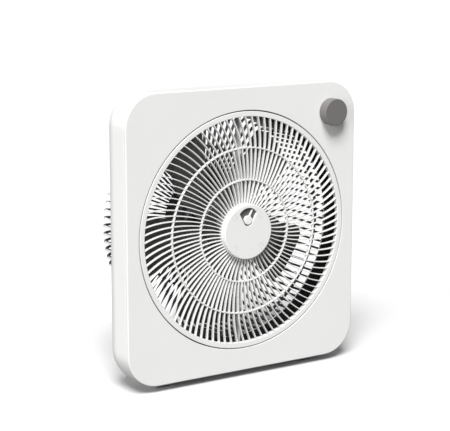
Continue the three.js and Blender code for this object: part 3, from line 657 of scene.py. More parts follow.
GRILLE_RADIUS = 160.8
RIM_INNER = 154
RING_MIDDLE = 112.5
RING_INNER = 69.3
RING_WIDTH = 1.8
RING_DEPTH = 4
HUB_RADIUS = 37.2
RIM_DEPTH = 7
RIB_DEPTH = 5
RIB_FRONT = 0.62
RIB_BACK = 0.5
OUTER_RIBS = 96
INNER_RIBS = 60
BUSHING_BORE = 6.3
HUB_CURL = 0.0079
HUB_CURL_END = 56
HUB_TURN = -1.35
OUTER_LEAN = 0.031
OUTER_CURL = 0.00069
OUTER_TURN = -0.18
RIB_SAMPLE = 0.5


def sweep(radius):
    """How far a rib has turned at a radius, in degrees: back near the hub, then ever more forward."""
    if radius < RING_INNER:
        return HUB_CURL * max(0, HUB_CURL_END - radius) ** 2 + HUB_TURN
    past = radius - RING_INNER
    return OUTER_LEAN * past + OUTER_CURL * past**2 + OUTER_TURN


def rib(form, start, end, angle, steps, section):
    """Adds one rib from a start radius to an end radius; its section is (across, depth) points."""
    rows = []
    for radius in between(start, end, steps):
        here = Vector(polar(radius, angle + sweep(radius)))
        ahead = Vector(polar(radius + RIB_SAMPLE, angle + sweep(radius + RIB_SAMPLE)))
        along = (ahead - here).normalized()
        side = Vector((-along.y, along.x))
        row = []
        for across, depth in section:
            place = here + side * across
            row.append((place.x, depth, place.y))
        rows.append(row)
    skin(form, rows, capped=True)


rib_corners = [(-RIB_FRONT, 0, 0.3), (RIB_FRONT, 0, 0.3)]
rib_corners += [(RIB_BACK, RIB_DEPTH, 0.2), (-RIB_BACK, RIB_DEPTH, 0.2)]
rib_section = soft_corners(rib_corners, 2)


def four_corners(inner, outer, front, back, edge):
    """The corners of a rectangle or of a flat ring's section, all rounded alike."""
    return [(inner, front, edge), (outer, front, edge), (outer, back, edge), (inner, back, edge)]


grille = bmesh.new()
turned(grille, four_corners(RIM_INNER, GRILLE_RADIUS, 0, RIM_DEPTH, 0.5), 288)
for middle in (RING_MIDDLE, RING_INNER):
    inner, outer = middle - RING_WIDTH / 2, middle + RING_WIDTH / 2
    turned(grille, four_corners(inner, outer, 0, RING_DEPTH, 0.3), 240)
turned(grille, four_corners(BUSHING_BORE, HUB_RADIUS, 0, RIM_DEPTH, 0.5), 96)
for start, end, count, steps in (
    (RING_MIDDLE, RIM_INNER + 2 * SINK, OUTER_RIBS, 12),
    (RING_INNER, RING_MIDDLE, OUTER_RIBS, 10),
    (HUB_RADIUS - 2 * SINK, RING_INNER, INNER_RIBS, 10),
):
    for i in range(count):
        rib(grille, start, end, 360 * i / count, steps, rib_section)
piece("turning_grille", grille, white_panel, "turning_grille", "white_panel", "front_grille")

# ------------------------------------------------------------------ hub cap
# A shallow white moulded cap that snaps over the grille's hub. Four square snap tabs show as fine
# outlines near its edge. A fan-shaped recess, its floor dark grey as painted shade, leaves the lever room to
# swing.

CAP_FRONT = -8
CAP_WALL = 2
CAP_EDGE = 1.4
LEVER_Z = 16
RECESS_FLOOR = -4
RECESS_REACH = 16.8
RECESS_SPREAD = 56
RECESS_HEEL = 8
RECESS_WALL = 1.2
TAB_OUT = 33
TAB_LENGTH = 7
TAB_WIDTH = 6
TAB_SLIT = 0.35
TAB_DEPTH = 0.7
HEEL_START = 200
HEEL_END = 340
RECESS_PLATE = 1.5
WELL_SINK = 1


def recess_outline(grow=0):
    """An arc above the lever's pivot, straight flanks, and a round heel below it."""
    points = []
    for angle in between(90 - RECESS_SPREAD, 90 + RECESS_SPREAD, 28):
        points.append(polar(RECESS_REACH + grow, angle))
    for angle in between(HEEL_START, HEEL_END, 24):
        points.append(polar(RECESS_HEEL + grow, angle))
    return [(x, LEVER_Z + z) for x, z in points]


def prism(form, outline, front, back):
    """Adds an outline of X and Z points pushed out from one depth to another."""
    ends = [[form.verts.new(Vector((x, depth, z)) * MM) for x, z in outline] for depth in (front, back)]
    for i in range(len(outline)):
        j = (i + 1) % len(outline)
        form.faces.new((ends[0][i], ends[0][j], ends[1][j], ends[1][i]))
    form.faces.new(ends[0])
    form.faces.new(ends[1])


cap = bmesh.new()
turned(
    cap,
    [
        (0, CAP_FRONT),
        (HUB_RADIUS, CAP_FRONT, CAP_EDGE),
        (HUB_RADIUS, -GAP),
        (HUB_RADIUS - CAP_WALL, -GAP),
        (HUB_RADIUS - CAP_WALL, CAP_FRONT + CAP_WALL, 0.5),
        (0, CAP_FRONT + CAP_WALL),
    ],
    144,
    steps=6,
)
well = bmesh.new()
prism(well, recess_outline(RECESS_WALL), CAP_FRONT + WELL_SINK, RECESS_FLOOR + RECESS_PLATE)
cap = carved(cap, well, "UNION")
room = bmesh.new()
prism(room, recess_outline(), CAP_FRONT - OVERRUN, RECESS_FLOOR)
cap = carved(cap, room)
slits = bmesh.new()
for quarter in range(4):
    turn = math.radians(45 + 90 * quarter)
    out, side = Vector((math.cos(turn), math.sin(turn))), Vector((-math.sin(turn), math.cos(turn)))
    near, far, wide = TAB_OUT - TAB_LENGTH, TAB_OUT, TAB_WIDTH / 2
    slit = [
        (far, -wide),
        (near, -wide),
        (near, wide),
        (far, wide),
        (far, wide - TAB_SLIT),
        (near + TAB_SLIT, wide - TAB_SLIT),
        (near + TAB_SLIT, -wide + TAB_SLIT),
        (far, -wide + TAB_SLIT),
    ]
    outline = [tuple(out * along + side * across) for along, across in slit]
    prism(slits, outline, CAP_FRONT - OVERRUN, CAP_FRONT + TAB_DEPTH)
cap = carved(cap, slits)
hub_cover = piece("hub_cover", cap, white_panel, "turning_grille", "white_panel", "hub_cap")
# Painted shade: the recess floor is dark grey where shade falls in it.
painted_shade_recess = moulded("painted_shade_recess", (0.11, 0.11, 0.11), 0.6, 900, 0.02, mottle=0.06, rubbed=0)


def on_recess_floor(middle):
    """Whether a point lies on the floor of the cap's recess."""
    beside = abs(middle.x) < RECESS_REACH and middle.z > LEVER_Z - RECESS_HEEL
    return beside and abs(middle.y - RECESS_FLOOR) < 2 * NEAR


paint_shade_on_faces(hub_cover, painted_shade_recess, on_recess_floor)

# ------------------------------------------------------------------ hub lever
# A small satin white lever: a round boss on a pin through the cap, and a thin tapered arm that
# the finger pushes round the recess to brake the grille or to free it.

LEVER_BOSS = 6
LEVER_ARM = 15.2
LEVER_HALF = 1.15
LEVER_TIP_HALF = 0.85
LEVER_REST = 29
LEVER_FRONT = -6.7
FINGER_LENGTH = 10
FINGER_FRONT = -2.2
FINGER_BACK = -1.4
LEVER_PIN = 1.5
FINGER_HALF = 1.5
BAR_CHAMFER = 0.4
BAR_EDGE = 0.3
TIP_ROUND = 0.9

lever_back = RECESS_FLOOR - GAP
lever = bmesh.new()
boss = [(0, CAP_FRONT), (LEVER_BOSS, CAP_FRONT, 0.7), (LEVER_BOSS, lever_back), (0, lever_back)]
turned(lever, boss, 64, 0, LEVER_Z)
drill(lever, LEVER_PIN, RECESS_FLOOR - OVERRUN, FINGER_BACK, 20, 0, LEVER_Z)


def spoke(form, start, end, half_start, half_end, front, back, angle):
    """Adds a straight tapered bar from the lever's pivot, with rounded long edges and tip."""
    out = Vector(polar(1, angle))
    side = Vector((-out.y, out.x))
    tip = half_end * TIP_ROUND
    outline = [(start, -half_start), (end, -half_end, tip), (end, half_end, tip), (start, half_start)]
    rows = []
    for inset, depth in soft_corners([(BAR_CHAMFER, front), (0, front, BAR_EDGE), (0, back)], 3):
        row = []
        for along, across in soft_corners(outline):
            shrink = 1 - inset / half_end
            place = out * (along - inset) + side * across * shrink
            row.append((place.x, depth, LEVER_Z + place.y))
        rows.append(row)
    skin(form, rows, capped=True)


spoke(lever, 0, LEVER_ARM, LEVER_HALF, LEVER_TIP_HALF, LEVER_FRONT, lever_back, 90 - LEVER_REST)
spoke(lever, 0, FINGER_LENGTH, FINGER_HALF, FINGER_HALF, FINGER_FRONT, FINGER_BACK, 270 - LEVER_REST)
piece("brake_lever", lever, white_shell, "lever", "white_shell", "grille_lever")

# ------------------------------------------------------------------ speed knob
# A plain drum-shaped knob of warm grey plastic with a crisp edge round its flat face. It is
# pushed onto the switch's spindle, and its hollow back covers the fixing nut.

KNOB_EDGE = 0.9
KNOB_WALL = 2.8
KNOB_BORE = 3.3
KNOB_HUB_SET = 2.9
KNOB_FACE = 4

grey_knob = moulded(
    "grey_knob", (0.168, 0.158, 0.158), 0.5, 900, 0.012, mottle=0.05, rubbed=0.12, dust=0.12
)
knob_low, knob_high = extent("speed_knob")
knob_x, knob_z = (knob_low.x + knob_high.x) / 2, (knob_low.z + knob_high.z) / 2
knob_radius, knob_front, knob_back = (knob_high.x - knob_low.x) / 2, knob_low.y, knob_high.y
knob = bmesh.new()
turned(
    knob,
    [
        (0, knob_front),
        (knob_radius, knob_front, KNOB_EDGE),
        (knob_radius, knob_back, 0.4),
        (knob_radius - KNOB_WALL, knob_back, 0.4),
        (knob_radius - KNOB_WALL, knob_back - KNOB_HUB_SET),
        (KNOB_BORE, knob_back - KNOB_HUB_SET, 0.3),
        (KNOB_BORE, knob_front + KNOB_FACE),
        (0, knob_front + KNOB_FACE),
    ],
    128,
    knob_x,
    knob_z,
)
piece("control_knob", knob, grey_knob, "knob", "grey_knob", "speed_knob")

# ------------------------------------------------------------------ fan blade and spinner nut
# One grey moulding: five wide pitched blades with rounded tips on a cupped hub, which a pin in
# the motor's shaft drives. A fluted nut on the shaft's end holds it on.

BLADES = 5
TIP = 143
ROOT = 26
BLADE_ANGLE = 99
ROOT_SPAN = 68
TIP_SPAN = 38
SPAN_REACH = 0.7
LEAD_DEPTH = 80
LEAD_FALL = 2
TRAIL_DEPTH = 60
TRAIL_RISE = 4
BLADE_THICK = 2.4
CAMBER = 4
HUB_OUT = 30
HUB_FRONT = 58
HUB_BACK = 80
HUB_WALL = 3
SHAFT_BORE = 4.3
HUB_BOSS = 9
LEAD_CLIP = 8
TRAIL_CLIP = 16
CLIP_POWER = 7
EDGE_THINNING = 0.75
TIP_THINNING = 0.6
OUT_STEPS = 26
CHORD_STEPS = 18
SLOPE_STEP = 0.01

grey_blade = moulded(
    "grey_blade",
    (0.085, 0.082, 0.082),
    0.3,
    500,
    0.01,
    mottle=0.06,
    rubbed=0.1,
    dust=0.1,
    sockets={"IOR": 1.5},
)


def blade_point(out, along):
    """A point of a blade's middle surface: out runs root to tip, along leading to trailing edge."""
    clip = (TRAIL_CLIP if along > 0.5 else LEAD_CLIP) * abs(2 * along - 1) ** CLIP_POWER
    radius = ROOT + (TIP - ROOT - clip * out**3) * out
    span = ROOT_SPAN + (TIP_SPAN - ROOT_SPAN) * min(out / SPAN_REACH, 1)
    lead, trail = LEAD_DEPTH - LEAD_FALL * out, TRAIL_DEPTH + TRAIL_RISE * out
    x, z = polar(radius, BLADE_ANGLE + span * along)
    return Vector((x, lead + (trail - lead) * along + CAMBER * math.sin(math.pi * along), z))


def add_blade(form, turn):
    """Adds one blade, thick in the middle and thin at its edges, turned about the axis."""
    sides = ([], [])
    for out in between(0, 1, OUT_STEPS):
        rows = ([], [])
        for along in between(0, 1, CHORD_STEPS):
            here = blade_point(out, along)
            later, sooner = min(along + SLOPE_STEP, 1), max(along - SLOPE_STEP, 0)
            further, nearer = min(out + SLOPE_STEP, 1), max(out - SLOPE_STEP, 0)
            across = blade_point(out, later) - blade_point(out, sooner)
            outward = blade_point(further, along) - blade_point(nearer, along)
            normal = across.cross(outward).normalized()
            thin = 1 - EDGE_THINNING * abs(2 * along - 1) ** 3
            thick = BLADE_THICK * thin * (1 - TIP_THINNING * out**6) / 2
            for side, row in ((-1, rows[0]), (1, rows[1])):
                point = here + normal * thick * side
                bearing = math.degrees(math.atan2(point.z, point.x))
                x, z = polar(math.hypot(point.x, point.z), bearing + turn)
                row.append(form.verts.new(Vector((x, point.y, z)) * MM))
        sides[0].append(rows[0])
        sides[1].append(rows[1])
    for side in sides:
        for near, far in zip(side, side[1:]):
            for i in range(CHORD_STEPS):
                form.faces.new((near[i], near[i + 1], far[i + 1], far[i]))
    front, back = sides
    for i in range(CHORD_STEPS):
        for row in (0, -1):
            form.faces.new((front[row][i], front[row][i + 1], back[row][i + 1], back[row][i]))
    for i in range(OUT_STEPS):
        for column in (0, -1):
            form.faces.new((front[i][column], front[i + 1][column], back[i + 1][column], back[i][column]))


wheel = bmesh.new()
turned(
    wheel,
    [
        (SHAFT_BORE, HUB_FRONT, 0.5),
        (HUB_OUT, HUB_FRONT, 4),
        (HUB_OUT, HUB_BACK, 0.5),
        (HUB_OUT - HUB_WALL, HUB_BACK, 0.5),
        (HUB_OUT - HUB_WALL, HUB_FRONT + HUB_WALL, 1),
        (HUB_BOSS, HUB_FRONT + HUB_WALL, 0.5),
        (HUB_BOSS, HUB_BACK, 0.5),
        (SHAFT_BORE, HUB_BACK, 0.3),
    ],
    96,
)
for k in range(BLADES):
    add_blade(wheel, 360 * k / BLADES)
piece("blade_moulding", wheel, grey_blade, "blade_wheel", "grey_blade", "fan_blade")

NUT_FRONT = 47
NUT_RADIUS = 13
NUT_FLUTES = 12
FLUTE_DEPTH = 0.04
NUT_NOSE = 4
NUT_THREAD = 3.3
NUT_FLOOR = 3.7
nut_back = HUB_FRONT - GAP


def nut_flute(angle, depth):
    """The nut's grip: shallow flutes along its side."""
    return 1 - FLUTE_DEPTH * (1 + math.cos(math.radians(angle * NUT_FLUTES))) / 2


nut = bmesh.new()
turned(
    nut,
    [
        (0, NUT_FRONT),
        (NUT_RADIUS - NUT_NOSE, NUT_FRONT, 2),
        (NUT_RADIUS, NUT_FRONT + NUT_NOSE, 1),
        (NUT_RADIUS, nut_back - 2, 0.5),
        (HUB_BOSS, nut_back),
        (NUT_THREAD, nut_back),
        (NUT_THREAD, NUT_FRONT + NUT_FLOOR),
        (0, NUT_FRONT + NUT_FLOOR),
    ],
    96,
    flute=nut_flute,
)
piece("fluted_nut", nut, grey_knob, "blade_wheel", "grey_knob", "spinner_nut")

# ------------------------------------------------------------------ rear drum
# A deep white moulded basket screwed to the recessed wall. Close ribs run along its side, round
# its corner and in across its back, to a ring and then to the plate that carries the motor. The
# inside of the basket is painted dark grey as painted shade.

DRUM = 157
DRUM_WALL = 2.6
DRUM_BACK = 118
DRUM_CORNER = 14
DRUM_RING = 100
DRUM_PLATE = 56
DRUM_HOLE = 10
BAND_BACK = 34.2
FLANGE = 2.7
FLANGE_RADIUS = 166
SIDE_RING = 56
SIDE_RIBS = 90
PLATE_RIBS = 90
SIDE_RIB_HALF = 1.35
SIDE_RIB_DEEP = 3.8
PLATE_RIB_HALF = 1.2
PLATE_RIB_DEEP = 4.6
DRUM_RING_HALF = 2
RING_PROUD = 0.2
BACK_PROUD = 0.1
BAND_OVERLAP = 0.6
INSIDE_DEPTH = 0.9

flange_front = WALL_BACK + GAP


def bar(form, path, angle, half, thick):
    """Adds a straight-sided bar along a path of (radius, depth) points in the plane of an angle."""
    out = Vector(polar(1, angle))
    side = Vector((-out.y, out.x))
    section = soft_corners(four_corners(-half, half, -thick / 2, thick / 2, 0.5), 2)
    rows = []
    for i, (radius, depth) in enumerate(path):
        before, after = path[max(i - 1, 0)], path[min(i + 1, len(path) - 1)]
        along = Vector((after[0] - before[0], after[1] - before[1])).normalized()
        normal = Vector((-along.y, along.x))
        row = []
        for across, deep in section:
            r, y = radius + normal.x * deep, depth + normal.y * deep
            place = out * r + side * across
            row.append((place.x, y, place.y))
        rows.append(row)
    skin(form, rows, capped=True)


deep_radius, deep_side = DRUM - SIDE_RIB_DEEP / 2, DRUM_BACK - SIDE_RIB_DEEP / 2
side_corner = [
    (deep_radius, BAND_BACK - BAND_OVERLAP),
    (deep_radius, deep_side, DRUM_CORNER - SIDE_RIB_DEEP / 2),
    (DRUM_RING, deep_side),
]
side_path = [tuple(point) for point in soft_corners(side_corner, 8)]
deep_back = DRUM_BACK - PLATE_RIB_DEEP / 2
plate_path = [(DRUM_RING, deep_back), (DRUM_PLATE - 2 * SINK, deep_back)]
drum = bmesh.new()
turned(
    drum,
    [
        (DRUM - DRUM_WALL, flange_front, 0.3),
        (FLANGE_RADIUS, flange_front, 0.5),
        (FLANGE_RADIUS, flange_front + FLANGE, 0.8),
        (DRUM, flange_front + FLANGE),
        (DRUM, BAND_BACK, 0.2),
        (DRUM - DRUM_WALL, BAND_BACK, 0.2),
    ],
    270,
)
inner, front, back = DRUM - DRUM_WALL - RING_PROUD, SIDE_RING - DRUM_RING_HALF, SIDE_RING + DRUM_RING_HALF
turned(drum, four_corners(inner, DRUM, front, back, 0.5), 270)
inner, outer = DRUM_RING - DRUM_RING_HALF, DRUM_RING + DRUM_RING_HALF
turned(drum, four_corners(inner, outer, DRUM_BACK - DRUM_WALL, DRUM_BACK + BACK_PROUD, 0.4), 180)
turned(
    drum,
    [
        (DRUM_HOLE, DRUM_BACK - DRUM_WALL),
        (DRUM_PLATE, DRUM_BACK - DRUM_WALL, 0.5),
        (DRUM_PLATE, DRUM_BACK, 0.5),
        (DRUM_HOLE, DRUM_BACK, 0.3),
    ],
    120,
)
for i in range(SIDE_RIBS):
    bar(drum, side_path, 360 * (i + 0.5) / SIDE_RIBS, SIDE_RIB_HALF, SIDE_RIB_DEEP)
for i in range(PLATE_RIBS):
    bar(drum, plate_path, 360 * (i + 0.5) / PLATE_RIBS, PLATE_RIB_HALF, PLATE_RIB_DEEP)
basket = piece("rear_basket", drum, white_shell, "casing", "white_shell", "rear_grille")
# Painted shade: the basket's inner faces are dark grey where they stand in shadow.
painted_shade_grey = moulded("painted_shade_grey", (0.12, 0.12, 0.12), 0.6, 900, 0.02, mottle=0.08, rubbed=0)


def inside_basket(middle):
    """Whether a point lies on the inner side of the basket's ribs and rings."""
    within = math.hypot(middle.x, middle.z) < DRUM - DRUM_WALL / 2 + INSIDE_DEPTH
    return within and BAND_BACK < middle.y < DRUM_BACK - DRUM_WALL / 2 + INSIDE_DEPTH


paint_shade_on_faces(basket, painted_shade_grey, inside_basket)

# ------------------------------------------------------------------ motor cover
# A shallow white moulded dish over the motor's screws, with a soft shoulder.

COVER_RADIUS = 50
COVER_BACK = 128
COVER_WALL = 2
COVER_BEVEL = 8
COVER_CROWN = 1
COVER_SHOULDER = 6

cover = bmesh.new()
turned(
    cover,
    [
        (0, COVER_BACK),
        (COVER_RADIUS - COVER_BEVEL, COVER_BACK - COVER_CROWN, 4),
        (COVER_RADIUS, COVER_BACK - COVER_SHOULDER, 4),
        (COVER_RADIUS, DRUM_BACK + GAP, 0.3),
        (COVER_RADIUS - COVER_WALL, DRUM_BACK + GAP, 0.3),
        (COVER_RADIUS - COVER_WALL, COVER_BACK - COVER_SHOULDER - COVER_WALL / 2, 2),
        (COVER_RADIUS - COVER_BEVEL - COVER_WALL / 2, COVER_BACK - COVER_CROWN - COVER_WALL, 2),
        (0, COVER_BACK - COVER_WALL),
    ],
    144,
)
piece("motor_dish", cover, white_shell, "casing", "white_shell", "motor_cover")

# ------------------------------------------------------------------ feet and pads
# Two long white moulded feet clip under the shell and follow the start of its round back, then
# run out behind it as heels. Each stands on two black rubber pads.

FOOT_HEIGHT = 8
FOOT_WRAP = 34
HEEL_HEIGHT = 4
FOOT_EDGE = 1.0
SHOULDER_LENGTH = 12
SHOULDER_DROP = 2

black_rubber = moulded("black_rubber", (0.02, 0.02, 0.02), 0.8, 1500, 0.03, mottle=0.15, dust=0.15)


def extruded(form, outline, low, high, edge):
    """Adds an outline of Y and Z points pushed out along X, with its end edges rounded."""
    middle = Vector((sum(p[0] for p in outline), sum(p[1] for p in outline))) / len(outline)
    rows = []
    ends = [(low + edge * (1 - math.sin(a)), edge * (1 - math.cos(a))) for a in between(math.pi / 2, 0, 4)]
    stations = ends + [(low + high - x, inset) for x, inset in reversed(ends)]
    for x, inset in stations:
        row = []
        for i, point in enumerate(outline):
            before = Vector(point) - Vector(outline[i - 1])
            after = Vector(outline[(i + 1) % len(outline)]) - Vector(point)
            normal = Vector((-(before + after).y, (before + after).x)).normalized()
            if normal.dot(middle - Vector(point)) < 0:
                normal = -normal
            place = Vector(point) + normal * inset
            row.append((x, place.x, place.y))
        rows.append(row)
    skin(form, rows, capped=True)


for name, node in (("left_foot", "foot_left"), ("right_foot", "foot_right")):
    low, high = extent(node)
    under = -half_height
    wrap = ROUND + GAP
    arc = []
    for turn in between(0, math.radians(FOOT_WRAP), 12):
        arc.append((ROUND_START + wrap * math.sin(turn), under + ROUND - wrap * math.cos(turn), 0))
    outline = soft_corners(
        [
            (low.y, under - GAP, 0.4),
            *arc,
            (arc[-1][0] + SHOULDER_LENGTH, arc[-1][1] - SHOULDER_DROP, 2),
            (high.y, under - GAP - HEEL_HEIGHT, 1.5),
            (high.y, under - GAP - FOOT_HEIGHT, 1),
            (low.y, under - GAP - FOOT_HEIGHT, 2.5),
        ]
    )
    foot = bmesh.new()
    extruded(foot, [tuple(point) for point in outline], low.x, high.x, FOOT_EDGE)
    piece(name, foot, white_shell, "casing", "white_shell", node)

PAD_EDGE = 0.5
PAD_TOP_EDGE = 0.3
PAD_DISH = 2
PAD_CORNER = 3

for i in range(1, 5):
    low, high = extent(f"foot_pad_{i}")
    pad = bmesh.new()
    outline = soft_corners(four_corners(low.x, high.x, low.y, high.y, PAD_CORNER))
    rows = []
    centre = Vector(((low.x + high.x) / 2, (low.y + high.y) / 2))
    side_edge = [(2 * PAD_EDGE, low.z), (0, low.z, PAD_EDGE), (0, high.z, PAD_TOP_EDGE), (PAD_DISH, high.z)]
    for inset, height in soft_corners(side_edge):
        shrink = 1 - inset / (high.y - low.y) * 2
        rows.append([(*(centre + (point - centre) * shrink), height) for point in outline])
    skin(pad, rows, capped=True)
    piece(f"rubber_pad_{i}", pad, black_rubber, "casing", "black_rubber", f"foot_pad_{i}")

# ------------------------------------------------------------------ cord grommet
# A black rubber ring snapped into the recessed wall, where the supply cord goes in.

GROMMET_BORE = 3
GROMMET_NECK = 4.7
GROMMET_FLANGE = 7

grommet = bmesh.new()
turned(
    grommet,
    [
        (GROMMET_BORE, WALL_FRONT, 0.4),
        (GROMMET_NECK, WALL_FRONT, 0.3),
        (GROMMET_NECK, WALL_BACK + GAP),
        (GROMMET_FLANGE, WALL_BACK + GAP, 0.5),
        (GROMMET_FLANGE, grommet_high.y, 1),
        (GROMMET_BORE, grommet_high.y, 0.8),
    ],
    48,
    grommet_x,
    grommet_z,
)
piece("cord_ring", grommet, black_rubber, "casing", "black_rubber", "cord_grommet")

# ------------------------------------------------------------------ grille bridge
# A flat steel bar on edge across the opening, with a turned boss in the middle and a welded foot
# plate at each end, all in white paint. It holds the pivot of the turning grille.

BRIDGE_HALF = 1.5
BRIDGE_FRONT = 14
BRIDGE_BACK = 24
BRIDGE_REACH = 167.4
BRIDGE_BOSS = 9
BRIDGE_BOSS_FRONT = 10
BRIDGE_SCREW = 173
PLATE_HALF = 8
PLATE_BACK = 16
PLATE_NEAR = 160
PLATE_FAR = 180
BRIDGE_THREAD = 3
THREAD_END = 20.3

# Metal marks: streaks drawn out along one direction, with stains that dull the metal unevenly.
metal_marks, given, made = shade_group(
    "metal_marks",
    [
        ("Colour", (0.5, 0.5, 0.5, 1)),
        ("Roughness", 0.3),
        ("Marks per metre", 900.0),
        ("Draw", 0.1),
        ("Stain", 0.15),
    ],
    [("Colour", (0.5, 0.5, 0.5, 1)), ("Roughness", 0.3), ("Height", 0.0)],
)
where = shade_node(metal_marks, "TexCoord", {}).outputs["Object"]
stretch = shade_node(metal_marks, "CombineXYZ", {"X": 1.0, "Y": given["Draw"], "Z": 1.0})
drawn = shade_node(metal_marks, "VectorMath", {0: where, 1: stretch.outputs[0]}, operation="MULTIPLY")
streaks = shade_node(
    metal_marks,
    "TexNoise",
    {"Vector": drawn.outputs["Vector"], "Scale": given["Marks per metre"], "Detail": 4.0},
)
stains = shade_node(metal_marks, "TexNoise", {"Vector": where, "Scale": 120.0, "Detail": 5.0})
stained = shade_node(metal_marks, "Math", {0: stains.outputs["Fac"], 1: given["Stain"]}, operation="MULTIPLY")
clean = shade_node(metal_marks, "Math", {0: 1.0, 1: stained.outputs[0]}, operation="SUBTRACT")
dulled = shade_node(
    metal_marks, "VectorMath", {0: given["Colour"], "Scale": clean.outputs[0]}, operation="SCALE"
)
scuffed = shade_node(
    metal_marks, "Math", {0: streaks.outputs["Fac"], 1: stained.outputs[0]}, operation="MULTIPLY"
)
rough = shade_node(metal_marks, "Math", {0: given["Roughness"], 1: scuffed.outputs[0]}, operation="ADD")
metal_marks.links.new(dulled.outputs["Vector"], made["Colour"])
metal_marks.links.new(rough.outputs[0], made["Roughness"])
metal_marks.links.new(streaks.outputs["Fac"], made["Height"])


def metal(name, colour, roughness, marks, draw, stain, relief, metallic=1.0):
    """Bare, plated or painted metal. Draw below 1 draws its marks out along the fan's axis."""
    finish = empty_finish(name)
    tree = finish.node_tree
    surface = shade_node(
        tree,
        "Group",
        {
            "Colour": (*colour, 1),
            "Roughness": roughness,
            "Marks per metre": marks,
            "Draw": draw,
            "Stain": stain,
        },
        node_tree=metal_marks,
    )
    return surfaced(finish, surface.outputs["Colour"], surface, relief, {"Metallic": metallic})


def eased_block(form, low, high, edge):
    """Adds a rectangular bar between two corners, in millimetres, with every edge rounded."""
    corners = bmesh.ops.create_cube(form, size=1)["verts"]
    for corner in corners:
        for axis in range(3):
            corner.co[axis] = (high if corner.co[axis] > 0 else low)[axis] * MM
    edges = list({edge for corner in corners for edge in corner.link_edges})
    bmesh.ops.bevel(form, geom=edges, offset=edge * MM, segments=3, profile=0.5, affect="EDGES")


painted_steel = metal("painted_steel", (0.73, 0.73, 0.72), 0.5, 700.0, 1.0, 0.1, 0.01, metallic=0.0)
zinc = metal("zinc_plate", (0.55, 0.56, 0.58), 0.28, 1600.0, 0.15, 0.3, 0.004)
bronze = metal("sintered_bronze", (0.45, 0.28, 0.1), 0.42, 2500.0, 1.0, 0.25, 0.01)

bridge = bmesh.new()
strap_low, strap_high = (-BRIDGE_HALF, BRIDGE_FRONT, -BRIDGE_REACH), (BRIDGE_HALF, BRIDGE_BACK, BRIDGE_REACH)
eased_block(bridge, strap_low, strap_high, 0.4)
bore = bmesh.new()
drill(bore, BRIDGE_BOSS - 2 * SINK, BRIDGE_BOSS_FRONT, BRIDGE_BACK + OVERRUN, 32)
bridge = carved(bridge, bore)
turned(
    bridge,
    [
        (0, BRIDGE_BACK),
        (BRIDGE_BOSS, BRIDGE_BACK, 0.5),
        (BRIDGE_BOSS, BRIDGE_BOSS_FRONT, 0.8),
        (BRIDGE_THREAD, BRIDGE_BOSS_FRONT, 0.3),
        (BRIDGE_THREAD, THREAD_END),
        (0, THREAD_END),
    ],
    64,
)
for side in (1, -1):
    plate = bmesh.new()
    near, far = sorted((side * PLATE_NEAR, side * PLATE_FAR))
    eased_block(plate, (-PLATE_HALF, BRIDGE_FRONT, near), (PLATE_HALF, PLATE_BACK, far), 0.5)
    hole = bmesh.new()
    drill(hole, SHANK_HOLE, BRIDGE_FRONT - OVERRUN, PLATE_BACK + OVERRUN, 24, 0, side * BRIDGE_SCREW)
    plate = carved(plate, hole)
    blank = bpy.data.meshes.new("blank")
    plate.to_mesh(blank)
    bridge.from_mesh(blank)
    bpy.data.meshes.remove(blank)
piece("pivot_bridge", bridge, painted_steel, "casing", "painted_steel", "grille_bridge")

# ------------------------------------------------------------------ grille bearing
# A sintered bronze bushing pressed into the grille turns on a zinc-plated shoulder bolt, behind a
# plain washer.


def keep_cad(finish, *nodes):
    """Gives carried-over CAD nodes a finish."""
    for node in nodes:
        cad = frame["nodes"][node]
        cad.data.materials.clear()
        cad.data.materials.append(finish)


def hollow_ring(name, node, inner, outer, edge, finish, body, slot):
    """A turned ring with rounded edges, as deep as the node it stands for."""
    low, high = extent(node)
    ring = bmesh.new()
    turned(ring, four_corners(inner, outer, low.y, high.y, edge), 64)
    piece(name, ring, finish, body, slot, node)


PIVOT_BORE = 4.3
BUSHING_RADIUS = 6
BUSHING_FLANGE = 9
FLANGE_DEPTH = 1.2
WASHER_RADIUS = 8
BOLT_RADIUS = 4
BOLT_HEAD = 5.5
BOLT_HEAD_HEIGHT = 2.6
BOLT_SHOULDER = 9.7
BOLT_THREAD = 2.7
SOCKET_RADIUS = 2.4
SOCKET_DEPTH = 1.4

bushing_low, bushing_high = extent("grille_bushing")
bushing = bmesh.new()
turned(
    bushing,
    [
        (PIVOT_BORE, bushing_low.y, 0.3),
        (BUSHING_RADIUS, bushing_low.y, 0.3),
        (BUSHING_RADIUS, bushing_high.y - FLANGE_DEPTH),
        (BUSHING_FLANGE, bushing_high.y - FLANGE_DEPTH, 0.2),
        (BUSHING_FLANGE, bushing_high.y, 0.3),
        (PIVOT_BORE, bushing_high.y, 0.3),
    ],
    48,
)
piece("bearing_bush", bushing, bronze, "turning_grille", "bronze", "grille_bushing")
hollow_ring("plain_washer", "pivot_washer", PIVOT_BORE, WASHER_RADIUS, 0.2, zinc, "casing", "bright_steel")
bolt_low, bolt_high = extent("pivot_bolt")
bolt = bmesh.new()
turned(
    bolt,
    [
        (0, bolt_low.y),
        (BOLT_HEAD, bolt_low.y, 0.8),
        (BOLT_HEAD, bolt_low.y + BOLT_HEAD_HEIGHT, 0.2),
        (BOLT_RADIUS, bolt_low.y + BOLT_HEAD_HEIGHT, 0.2),
        (BOLT_RADIUS, BOLT_SHOULDER, 0.3),
        (BOLT_THREAD, BOLT_SHOULDER, 0.2),
        (BOLT_THREAD, bolt_high.y, 0.6),
        (0, bolt_high.y),
    ],
    48,
)
socket = bmesh.new()
hexagon = [polar(SOCKET_RADIUS, 60 * i) for i in range(6)]
prism(socket, hexagon, bolt_low.y - OVERRUN, bolt_low.y + SOCKET_DEPTH)
bolt = carved(bolt, socket)
piece("shoulder_bolt", bolt, zinc, "casing", "bright_steel", "pivot_bolt")

